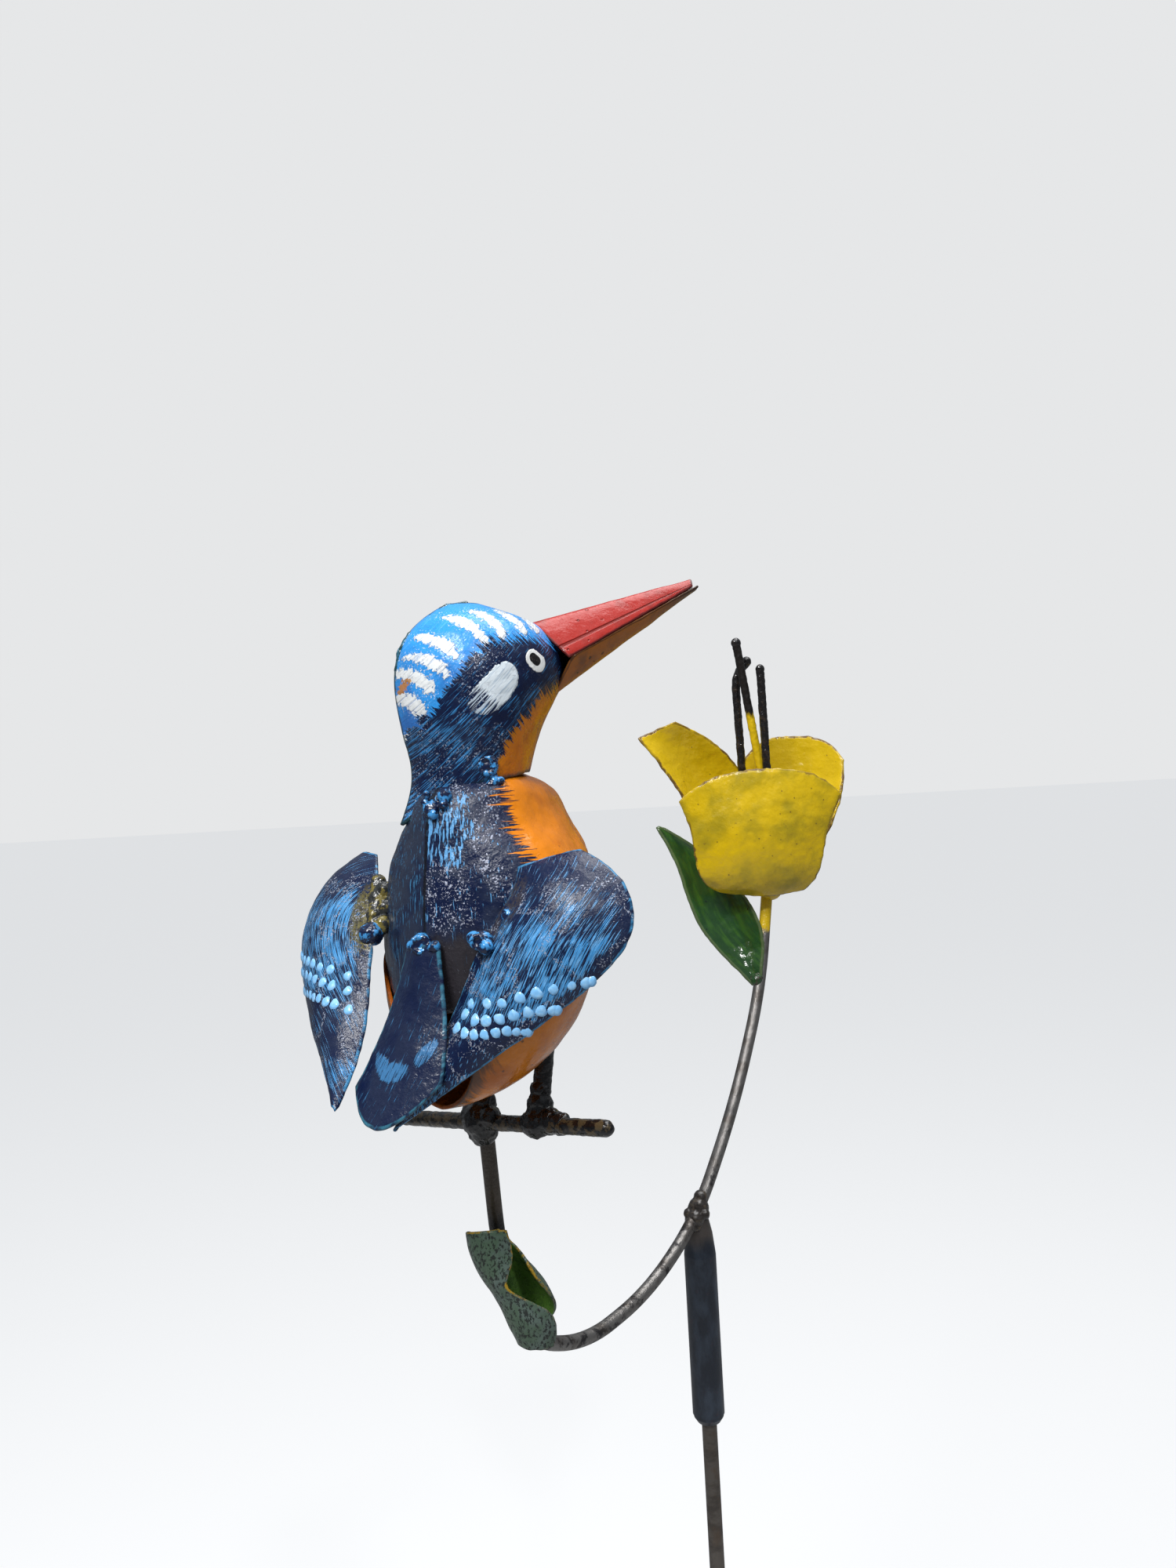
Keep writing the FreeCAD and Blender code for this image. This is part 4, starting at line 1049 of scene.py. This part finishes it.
TAIL_RIGHT = [(-34.8, -6.5, 60.0), (-35.6, -8.0, 52.5), (-37.8, -11.0, 40.0), (-41.0, -13.2, 31.5),
              (-44.2, -13.8, 23.5)]


def swung_in(points):
    """The left wing's points on the bird's right, the tip drawn in and down behind the tail."""
    last = len(points) - 1
    return [(u + 12.0 * (i / last) ** 2, 3.5 + 12.5 * (i / last) ** 2 - v, w - 7.5 * (i / last) ** 4)
            for i, (u, v, w) in enumerate(points)]


def paint_drops(name, grid, placement, material, rows, thickness=0.35):
    """Raised drops of thick enamel on a sheet's outer face, in rows across it."""
    poles = np.array([[list(point) for point in row] for row in grid], dtype=float)
    fine = 161
    down, over = spline_weights(len(poles), fine), spline_weights(len(poles[0]), fine)
    face = np.einsum("ai,ijk,bj->abk", down, poles, over)
    normal = grid_normals(face)
    dice = random.Random(7)
    spokes, rings = 14, 4
    vertices, faces = [], []
    for row in rows:
        for across, along, half_width, half_height in row:
            i, j = int(along * (fine - 1)), int(across * (fine - 1))
            up = normal[i, j]
            side = face[i, min(j + 1, fine - 1)] - face[i, max(j - 1, 0)]
            side /= np.linalg.norm(side)
            fall = np.cross(up, side)
            turn = dice.uniform(-0.5, 0.5)
            side, fall = (side * math.cos(turn) + fall * math.sin(turn),
                          fall * math.cos(turn) - side * math.sin(turn))
            first = len(vertices)
            vertices.append(face[i, j] + up * thickness)
            waves = [dice.uniform(0.88, 1.14) for _ in range(spokes)]
            for ring in range(1, rings + 1):
                reach = ring / rings
                for k in range(spokes):
                    angle = 2 * math.pi * k / spokes
                    pointed = 1.0 + 0.28 * max(0.0, math.cos(angle - 1.5)) ** 6
                    span = reach * (waves[k] * 0.6 + waves[k - 1] * 0.4) * pointed
                    spot = side * (half_width * math.cos(angle) * span)
                    spot = spot + fall * (half_height * math.sin(angle) * span)
                    lift = thickness * (1 - reach ** 3) - 0.25 * reach ** 6
                    vertices.append(face[i, j] + spot + up * lift)
            for k in range(spokes):
                after = (k + 1) % spokes
                faces.append((first, first + 1 + k, first + 1 + after))
                for ring in range(rings - 1):
                    base = first + 1 + ring * spokes
                    faces.append((base + k, base + spokes + k, base + spokes + after, base + after))
    place_array = np.array(placement)
    world = (np.array(vertices) @ place_array[:3, :3].T + place_array[:3, 3]) * MM
    mesh = bpy.data.meshes.new(name)
    mesh.from_pydata(world.tolist(), [], faces)
    link(name, mesh, material, [])


def dot_rows(crowding, starts, lifts, slopes, widths, flip):
    """Three rows of drops across a wing, crowded towards the outer edge by an even law."""
    rows = []
    count = 9
    for start, lift, slope in zip(starts, lifts, slopes):
        row = []
        for k in range(count):
            reach = (k + 0.5) / count
            across = 1 - (1 - reach) ** crowding
            along = start + lift * math.sin(math.pi * across) + slope * across ** 4
            half_width = widths[0] + (widths[1] - widths[0]) * reach
            row.append((1 - across if flip else across, along, half_width, 1.55))
        rows.append(row)
    return rows


def make_wings_and_tail():
    left_enamel = finish_wing("left_wing_enamel", (0.97, 0.30), (0.14, 0.12, 0.035),
                              (0.035, 0.03, 0.02), 0.95)
    right_enamel = finish_wing("right_wing_enamel", (0.05, 0.16), (0.050, 0.042, 0.040), NAVY, 0.8)
    dots = finish_dots()
    left = turned_over(strip(WING_INNER, WING_OUTER, WING_BULGE))
    right_inner = RIGHT_ROOT + swung_in(WING_INNER)[len(RIGHT_ROOT):]
    right = turned_over(strip(swung_in(WING_OUTER), right_inner, WING_BULGE))
    formed_sheet("left_wing", left, BIRD, left_enamel, dent=0.35, seed=6.0, step=0.7)
    formed_sheet("right_wing", right, BIRD, right_enamel, dent=0.45, seed=7.0, step=0.7)
    paint_drops("right_wing_drops", right, BIRD, dots,
                dot_rows(2.3, (0.655, 0.69, 0.75), (0.02, 0.055, 0.045), (-0.075, 0.01, 0.035),
                         (1.9, 1.5), False))
    paint_drops("left_wing_drops", left, BIRD, dots,
                dot_rows(1.7, (0.60, 0.665, 0.745), (-0.01, 0.0, 0.0), (-0.06, -0.04, -0.03),
                         (1.6, 2.2), True))
    tail = strip(TAIL_LEFT, TAIL_RIGHT, [1.5, 2.0, 2.5, 2.8, 2.0], [0.0, 0.0, 0.0, 3.0, 12.5], 1.0)
    formed_sheet("tail", tail, BIRD, finish_tail(), dent=0.35, seed=8.0, step=0.6)


def make_flower():
    front_left = [(-24.0, -8.0, 3.0), (-31.0, -12.0, 5.5), (-33.8, -13.5, 16.0),
                  (-34.3, -13.5, 27.0), (-36.0, -12.5, 36.0), (-39.0, -12.0, 43.5)]
    front_right = [(13.5, -7.0, 1.5), (19.0, -10.5, 5.5), (21.5, -12.0, 16.0),
                   (24.0, -12.0, 27.0), (27.5, -11.0, 36.0), (31.5, -10.0, 43.0)]
    left_low = [(-7.0, 1.0, 2.0), (-19.0, 1.5, 12.0), (-28.5, 1.0, 27.0), (-35.5, 1.0, 42.0),
                (-43.0, 1.0, 56.5), (-55.0, 1.0, 72.0)]
    left_high = [(-1.0, 9.0, 2.5), (-1.0, 14.0, 15.0), (-2.0, 15.0, 35.0), (-8.0, 13.0, 57.0),
                 (-21.5, 9.0, 71.0), (-38.0, 4.0, 79.0)]
    back_low = [(2.0, 9.0, 2.0), (-3.0, 19.0, 12.0), (-6.0, 26.0, 30.0), (-6.5, 28.0, 49.0),
                (-5.0, 28.0, 61.0)]
    back_high = [(8.0, 3.0, 2.0), (20.0, 5.0, 12.0), (31.0, 7.0, 28.0), (37.5, 11.0, 43.0),
                 (39.0, 15.0, 58.0)]
    front = strip(front_right, front_left, [3.0, 5.0, 7.5, 8.5, 8.5, 7.0],
                  [0.0, 0.0, 0.0, 2.0, 6.0, 11.5])
    left = strip(left_low, left_high, [2.0, 5.0, 7.0, 7.0, 5.0, 1.5])
    back = strip(back_low, back_high, [2.0, 6.0, 8.0, 9.0, 7.0], [0.0, 0.0, 0.0, 4.0, 12.0])
    # The front petal gets the copy mixed far towards olive, the left and back petals the mostly yellow
    # copy.
    worn = finish_petal("petal_olive", 0.85)
    yellow_enamel = finish_petal("petal_yellow", 0.25)
    for name, grid, enamel, seed in (("front_petal", front, worn, 9.0), ("left_petal", left, yellow_enamel, 10.0),
                                     ("back_petal", back, yellow_enamel, 11.0)):
        formed_sheet(name, grid, BLOOM, enamel, dent=0.5, ragged=0.45, seed=seed)


def make_leaves():
    upper_edge = [(-7.5, -9.5, -36.5), (-5.5, -6.5, -26.0), (-4.5, -4.5, -16.5), (-8.5, -2.0, -5.5),
                  (-14.5, 0.5, 4.5), (-31.5, 3.0, 24.0), (-47.5, 4.0, 32.5)]
    lower_edge = [(-12.0, -9.0, -38.5), (-22.5, -6.5, -26.5), (-29.5, -4.5, -18.5),
                  (-35.5, -2.5, -7.5), (-38.5, -1.0, 6.0), (-43.0, 1.5, 21.5), (-49.0, 3.5, 31.5)]
    upper = strip(lower_edge, upper_edge, [1.0, 3.0, 4.0, 4.0, 3.5, 2.0, 0.3])
    formed_sheet("upper_leaf", upper, BLOOM, finish_upper_leaf(), dent=0.5, seed=12.0)
    rings = [((-72.8, -104.5, 559.5), 7.4, 70, 322, 2.6), ((-72.0, -104.5, 554.5), 8.6, 25, 325, 1.6),
             ((-69.6, -104.5, 549.5), 9.2, -12, 292, 0.6), ((-66.4, -104.0, 544.5), 9.6, -20, 250, 0.0),
             ((-63.0, -104.0, 539.0), 9.8, -10, 305, 0.0), ((-60.4, -103.5, 532.0), 9.3, 25, 340, 0.0),
             ((-59.4, -103.0, 524.5), 6.8, 95, 315, 0.0)]
    grid = []
    turns = 12
    for centre, radius, first, last, lean in rings:
        row = []
        for j in range(turns + 1):
            angle = math.radians(first + (last - first) * j / turns)
            around = (math.cos(angle) * radius, math.sin(angle) * radius, -lean * math.sin(angle))
            row.append(Vector(centre) + Vector(around))
        grid.append(row)
    formed_sheet("lower_leaf", grid, WORLD, finish_lower_leaf(), thickness=1.0,
                 dent=0.25, ragged=0.35, seed=13.0, step=0.5)


def make_welds_and_rods():
    navy_weld = finish_weld("weld_navy", NAVY, STREAK, 0.45)
    black = finish_weld("black_enamel", BLACK, (0.022, 0.017, 0.013), 0.20)
    perch_skin = finish_weld("perch_skin", BLACK, (0.085, 0.062, 0.032), 0.50)
    yellow = finish_weld("weld_yellow", YELLOW, RUST, 0.2)
    stamen = finish_weld("stamen_skin", (0.009, 0.008, 0.008), (0.028, 0.020, 0.014), 0.30)
    green = finish_weld("weld_green", GREEN, BURNT, 0.3)
    burnt = finish_weld("weld_burnt", (0.034, 0.028, 0.024), (0.075, 0.058, 0.042), 0.35)

    lump("perch_rod", string_of_balls((0, 45, -4.2), (0, -37.0, 2.6), 2.6), BIRD, perch_skin,
         rough=0.2)
    lump("right_leg", string_of_balls((2.0, -10.5, 2.5), (6.5, -11.5, 27), 3.0), BIRD, black,
         rough=0.2)
    lump("left_leg", string_of_balls((1.5, 11.5, 2.5), (6.0, 12.0, 27), 3.0), BIRD, black,
         rough=0.35, seed=2.0)
    right_foot = [(0.5, -10.5, 0.8, 4.8), (1.5, -15.0, 1.6, 4.3), (1.0, -19.5, 1.6, 3.5),
                  (2.2, -10.8, 6.5, 4.1), (3.0, -10.9, 10.5, 3.5), (0.8, -7.5, 0.2, 3.4)]
    lump("right_foot", right_foot, BIRD, black, rough=0.5, seed=3.0)
    left_foot = [(0, 12.0, -0.8, 6.0), (0.5, 11.5, -4.0, 5.0), (0.5, 15.5, 0.2, 4.2),
                 (-0.5, 8.0, 0.5, 4.0), (1.5, 11.8, 4.5, 4.2)]
    lump("left_foot", left_foot, BIRD, black, rough=0.5, seed=4.0)

    right = [(-3.0, -17.2, 110.8, 2.3)] + ring_of_balls((-3.4, -18.6, 110.8), (-0.34, -0.94, 0), 2.3, 0.9)
    right += [(-1.5, -17.6, 106.0, 2.2), (-2.9, -18.4, 105.2, 1.4), (0.2, -18.8, 106.4, 1.3)]
    lump("neck_weld_right", right, HEAD, navy_weld, voxel=0.25, rough=0.15)
    lips = []
    for side in (-1.1, 1.1):
        top = [(-13.9, side, 157.7), (-9.1, side, 160.6), (-2.5, side, 161.6)]
        nape = [(-20.5, side, 152.3), (-23.7, side, 147.5), (-25.0, side, 141.6)]
        for path in (top, nape):
            for start, end in zip(path, path[1:]):
                lips += string_of_balls(start, end, 0.8)
    lip_teal = finish_weld("lip_teal", EDGE_TEAL, (0.04, 0.16, 0.24), 0.35)
    lump("crown_lips", lips, HEAD, lip_teal, voxel=0.3, rough=0.3, nodes=[])
    back = [(-27.8, -1.0, 99.0, 2.9), (-26.0, -4.5, 102.5, 2.3), (-29.6, -2.8, 97.6, 1.6),
            (-28.8, 0.8, 101.3, 1.5), (-27.5, -5.2, 100.2, 1.5), (-29.3, -0.5, 103.4, 1.2)]
    lump("neck_weld_back", back, BIRD, navy_weld, voxel=0.25, rough=0.25)
    lump("neck_weld_left", [(-4.0, 17.8, 107.5, 2.8), (-2.2, 18.4, 105.6, 1.6)], HEAD, navy_weld,
         voxel=0.25)
    beads = [(-29.8, 25.0, 62.0, 3.6), (-27.0, 26.4, 67.0, 3.1), (-24.2, 27.9, 72.0, 3.0),
             (-21.6, 29.6, 76.8, 2.6)]
    left_wing = beads + [(-26.6, 23.2, 64.5, 3.0), (-24.4, 24.4, 69.5, 3.0), (-22.4, 25.8, 74.5, 2.8)]
    for start, end in zip(beads, beads[1:]):
        left_wing += string_of_balls(start[:3], end[:3], 2.6)
    olive = finish_weld("weld_olive", (0.020, 0.022, 0.022), (0.17, 0.135, 0.03), 0.45)
    lump("left_wing_weld", left_wing, BIRD, olive, voxel=0.3, rough=0.3)
    blob = [(-30.2, 25.0, 62.0, 3.8), (-28.2, 27.4, 61.0, 2.4), (-31.0, 22.8, 62.6, 2.0)]
    lump("left_wing_blob", blob, BIRD, navy_weld, voxel=0.3, rough=0.3, nodes=[])
    right_wing = [(-31.5, -21.0, 61.5, 3.1), (-25.5, -27.0, 68.0, 3.0), (-33.0, -23.2, 60.2, 2.2),
                  (-32.6, -18.6, 62.6, 2.0)]
    right_wing += ring_of_balls((-34.2, -21.4, 61.8), (-0.84, -0.54, 0), 1.7, 0.8)
    lump("right_wing_weld", right_wing, BIRD, navy_weld, voxel=0.3, rough=0.25)
    tail_weld = [(-33.6, 0.5, 60.5, 3.3), (-33.4, -3.0, 58.5, 2.6), (-34.4, 3.4, 59.6, 2.0),
                 (-34.6, -5.2, 59.8, 1.9)]
    tail_weld += ring_of_balls((-36.0, -1.0, 60.6), (-0.84, -0.54, 0.1), 2.2, 0.9)
    lump("tail_weld", tail_weld, BIRD, navy_weld, voxel=0.3, rough=0.25)

    base = [(0, 0, 2.0, 5.0), (0, 1.0, 6.0, 4.2), (-3.0, -7.6, 4.6, 3.9), (-6.2, 4.6, 5.6, 3.2),
            (4.0, 6.2, 5.2, 4.0)]
    lump("flower_base", base, BLOOM, yellow)
    lump("long_stamen", string_of_balls((5.4, 1.0, 6.0), (-9.3, 0.5, 112.5), 1.9), BLOOM,
         finish_long_stamen(), rough=0.22)
    lump("short_stamen", string_of_balls((1.5, -3.0, 6.0), (0.3, -3.0, 100.0), 1.9), BLOOM, stamen,
         rough=0.22, seed=2.0)
    hook = [(-8.0, 6.0, 7.0), (-9.6, 6.5, 92.0), (-9.3, 6.5, 97.0), (-7.6, 6.5, 100.6), (-4.2, 6.5, 104.0)]
    balls = []
    for start, end in zip(hook, hook[1:]):
        balls += string_of_balls(start, end, 1.9)
    lump("hooked_stamen", balls, BLOOM, stamen, rough=0.22, seed=3.0)
    tips = [(-9.3, 0.5, 112.5, 2.3), (0.3, -3.0, 100.0, 2.1), (-4.2, 6.5, 104.5, 2.3)]
    lump("stamen_tips", tips, BLOOM, stamen, voxel=0.3)
    lump("upper_leaf_weld", [(-9.5, -8.0, -36.5, 3.2)], BLOOM, green, rough=0.4)
    lump("lower_leaf_weld", [(-70.2, -93.8, 546.0, 3.2)], WORLD, burnt, rough=0.4)
    arm_weld = [(0.5, 0.6, 525.0, 4.3), (-1.5, -2.0, 521.5, 4.0), (-1.2, -3.6, 519.4, 2.4),
                (2.4, -2.2, 523.4, 2.4), (-3.6, -1.0, 523.6, 2.2), (1.6, 1.8, 529.0, 2.8)]
    lump("arm_weld", arm_weld, WORLD, burnt, rough=0.2)


def finish_long_stamen():
    """Black rod whose lower part was caught by the yellow enamel."""
    finish = Finish("stamen_dipped", roughness=0.3, coat=0.4)
    x, y, z = finish.place()
    drift = finish.noise((x, y, z), (2.4, 2.4, 5.0), 3.0)
    low = finish.rise(z + drift * 9.0, 729.5, 725.5)
    colour = finish.mix(STAMEN_BLACK, YELLOW, low)
    return finish.done(colour, drift * 0.2 + 0.2, [(drift, 0.2)])


def finish_arm():
    """Bare steel arm with oxide bands, yellow at the flower and burnt black at the perch."""
    finish = Finish("arm_steel", roughness=0.4, metallic=0.7)
    x, y, z = finish.place()
    bands = finish.noise((x, y, z), (5.0, 5.0, 5.0), 4.0, 0.65)
    pits = finish.noise((x, y, z), (0.8, 0.8, 0.8), 3.0, 0.6)
    oxide = finish.rise(bands, 0.50, 0.62) * finish.rise(z, 590.0, 520.0)
    colour = finish.mix(STEEL, OXIDE, oxide)
    brown = finish.rise(finish.noise((x, y, z), (8.0, 8.0, 8.0), 3.0, shift=6.0), 0.46, 0.66)
    colour = finish.mix(colour, (0.075, 0.055, 0.04), brown * 0.5)
    post = finish.rise(x, -60.0, -66.0)
    char = finish.mix((0.075, 0.060, 0.045), BLACK, finish.rise(z + bands * 14.0, 575.0, 560.0))
    colour = finish.mix(colour, char, post)
    dipped = finish.rise(z + bands * 10.0, 632.0, 635.0)
    colour = finish.mix(colour, YELLOW, dipped)
    painted = finish.larger(dipped, post * 0.8)
    return finish.done(colour, oxide * 0.1 + pits * 0.3 + 0.22 - painted * 0.08,
                       [(bands, 0.5), (pits, 0.12)], 0.75 - painted * 0.75)


def dress_cad_nodes():
    """Better skins on the CAD nodes whose shape is already right."""
    ground = finish_steel("stake_steel", (0.13, 0.115, 0.10), (0.060, 0.050, 0.042), 9.0, 0.45, 0.55)
    skins = {"ground_rod": ground, "mouth_ring": finish_tube(), "arm_rod": finish_arm()}
    skins["socket_tube"] = skins["mouth_ring"]
    for node, material in skins.items():
        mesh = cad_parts[node].data
        mesh.materials.clear()
        mesh.materials.append(material)
        mesh.shade_smooth()


# ---------------------------------------------------------------- camera, floor and light
def make_camera():
    """Level camera beside the bird, rolled so that the stake's foot leans to the right."""
    roll = math.radians(3.17)
    camera = bpy.data.objects.new("camera", bpy.data.cameras.new("camera"))
    camera.data.lens = 27.0
    camera.data.sensor_width = 36.0
    right = Vector((math.cos(roll), 0.0, -math.sin(roll)))
    up = Vector((math.sin(roll), 0.0, math.cos(roll)))
    back = Vector((0.0, -1.0, 0.0))
    turn = Matrix((right, up, back)).transposed().to_4x4()
    camera.matrix_world = Matrix.Translation((-0.0343, -0.470, 0.6968)) @ turn
    bpy.context.scene.collection.objects.link(camera)
    bpy.context.scene.camera = camera


def make_floor():
    """Plain pale floor; only the camera sees its own soft glow."""
    mesh = bpy.data.meshes.new("floor")
    reach = 30.0  # metres, well past what the camera sees
    corners = [(-reach, -reach, 0), (reach, -reach, 0), (reach, reach, 0), (-reach, reach, 0)]
    mesh.from_pydata(corners, [], [(0, 1, 2, 3)])
    pale = bpy.data.materials.new("floor_pale")
    pale.use_nodes = True
    tree = pale.node_tree
    plain = tree.nodes["Principled BSDF"]
    plain.inputs["Base Color"].default_value = (0.40, 0.40, 0.40, 1)
    plain.inputs["Roughness"].default_value = 0.9
    glow = tree.nodes.new("ShaderNodeEmission")
    glow.inputs["Color"].default_value = (0.95, 0.96, 0.97, 1)
    glow.inputs["Strength"].default_value = 0.64
    both = tree.nodes.new("ShaderNodeAddShader")
    tree.links.new(plain.outputs[0], both.inputs[0])
    tree.links.new(glow.outputs[0], both.inputs[1])
    path = tree.nodes.new("ShaderNodeLightPath")
    either = tree.nodes.new("ShaderNodeMixShader")
    tree.links.new(path.outputs["Is Camera Ray"], either.inputs[0])
    tree.links.new(plain.outputs[0], either.inputs[1])
    tree.links.new(both.outputs[0], either.inputs[2])
    tree.links.new(either.outputs[0], tree.nodes["Material Output"].inputs["Surface"])
    mesh.materials.append(pale)
    floor = bpy.data.objects.new("floor", mesh)
    bpy.context.scene.collection.objects.link(floor)


def add_area(name, where, towards, size, power):
    light = bpy.data.objects.new(name, bpy.data.lights.new(name, "AREA"))
    light.data.shape = "SQUARE"
    light.data.size = size
    light.data.energy = power
    light.location = where
    direction = Vector(towards) - Vector(where)
    light.rotation_euler = direction.to_track_quat("-Z", "Y").to_euler()
    bpy.context.scene.collection.objects.link(light)


def make_light():
    """Large soft boxes above and to the left, a small bright one for glints, a pale world."""
    aim = (0.0, -0.04, 0.66)
    add_area("key", (-0.55, -0.95, 1.75), aim, 0.5, 21.0)
    add_area("top", (0.25, 0.10, 1.95), aim, 0.9, 15.0)
    add_area("glint", (0.30, -1.10, 1.70), aim, 0.08, 5.0)
    world = bpy.data.worlds.new("studio")
    bpy.context.scene.world = world
    world.use_nodes = True
    tree = world.node_tree
    plain = tree.nodes["Background"]
    plain.inputs["Color"].default_value = (0.86, 0.92, 1.0, 1.0)
    source = tree.nodes.new("ShaderNodeTexCoord")
    split = tree.nodes.new("ShaderNodeSeparateXYZ")
    climb = tree.nodes.new("ShaderNodeMapRange")
    tree.links.new(source.outputs["Generated"], split.inputs[0])
    tree.links.new(split.outputs[2], climb.inputs["Value"])
    for name, value in (("From Min", -0.05), ("From Max", 0.85), ("To Min", 0.10), ("To Max", 0.42)):
        climb.inputs[name].default_value = value
    tree.links.new(climb.outputs[0], plain.inputs["Strength"])
    seen = tree.nodes.new("ShaderNodeBackground")
    seen.inputs["Color"].default_value = (0.93, 0.94, 0.95, 1.0)
    seen.inputs["Strength"].default_value = 0.85
    path = tree.nodes.new("ShaderNodeLightPath")
    either = tree.nodes.new("ShaderNodeMixShader")
    tree.links.new(path.outputs["Is Camera Ray"], either.inputs[0])
    tree.links.new(plain.outputs[0], either.inputs[1])
    tree.links.new(seen.outputs[0], either.inputs[2])
    tree.links.new(either.outputs[0], tree.nodes["World Output"].inputs["Surface"])
    bpy.context.scene.view_settings.view_transform = "Standard"


make_camera()
make_floor()
make_light()
dress_cad_nodes()
make_body()
make_head()
make_wings_and_tail()
make_flower()
make_leaves()
make_welds_and_rods()
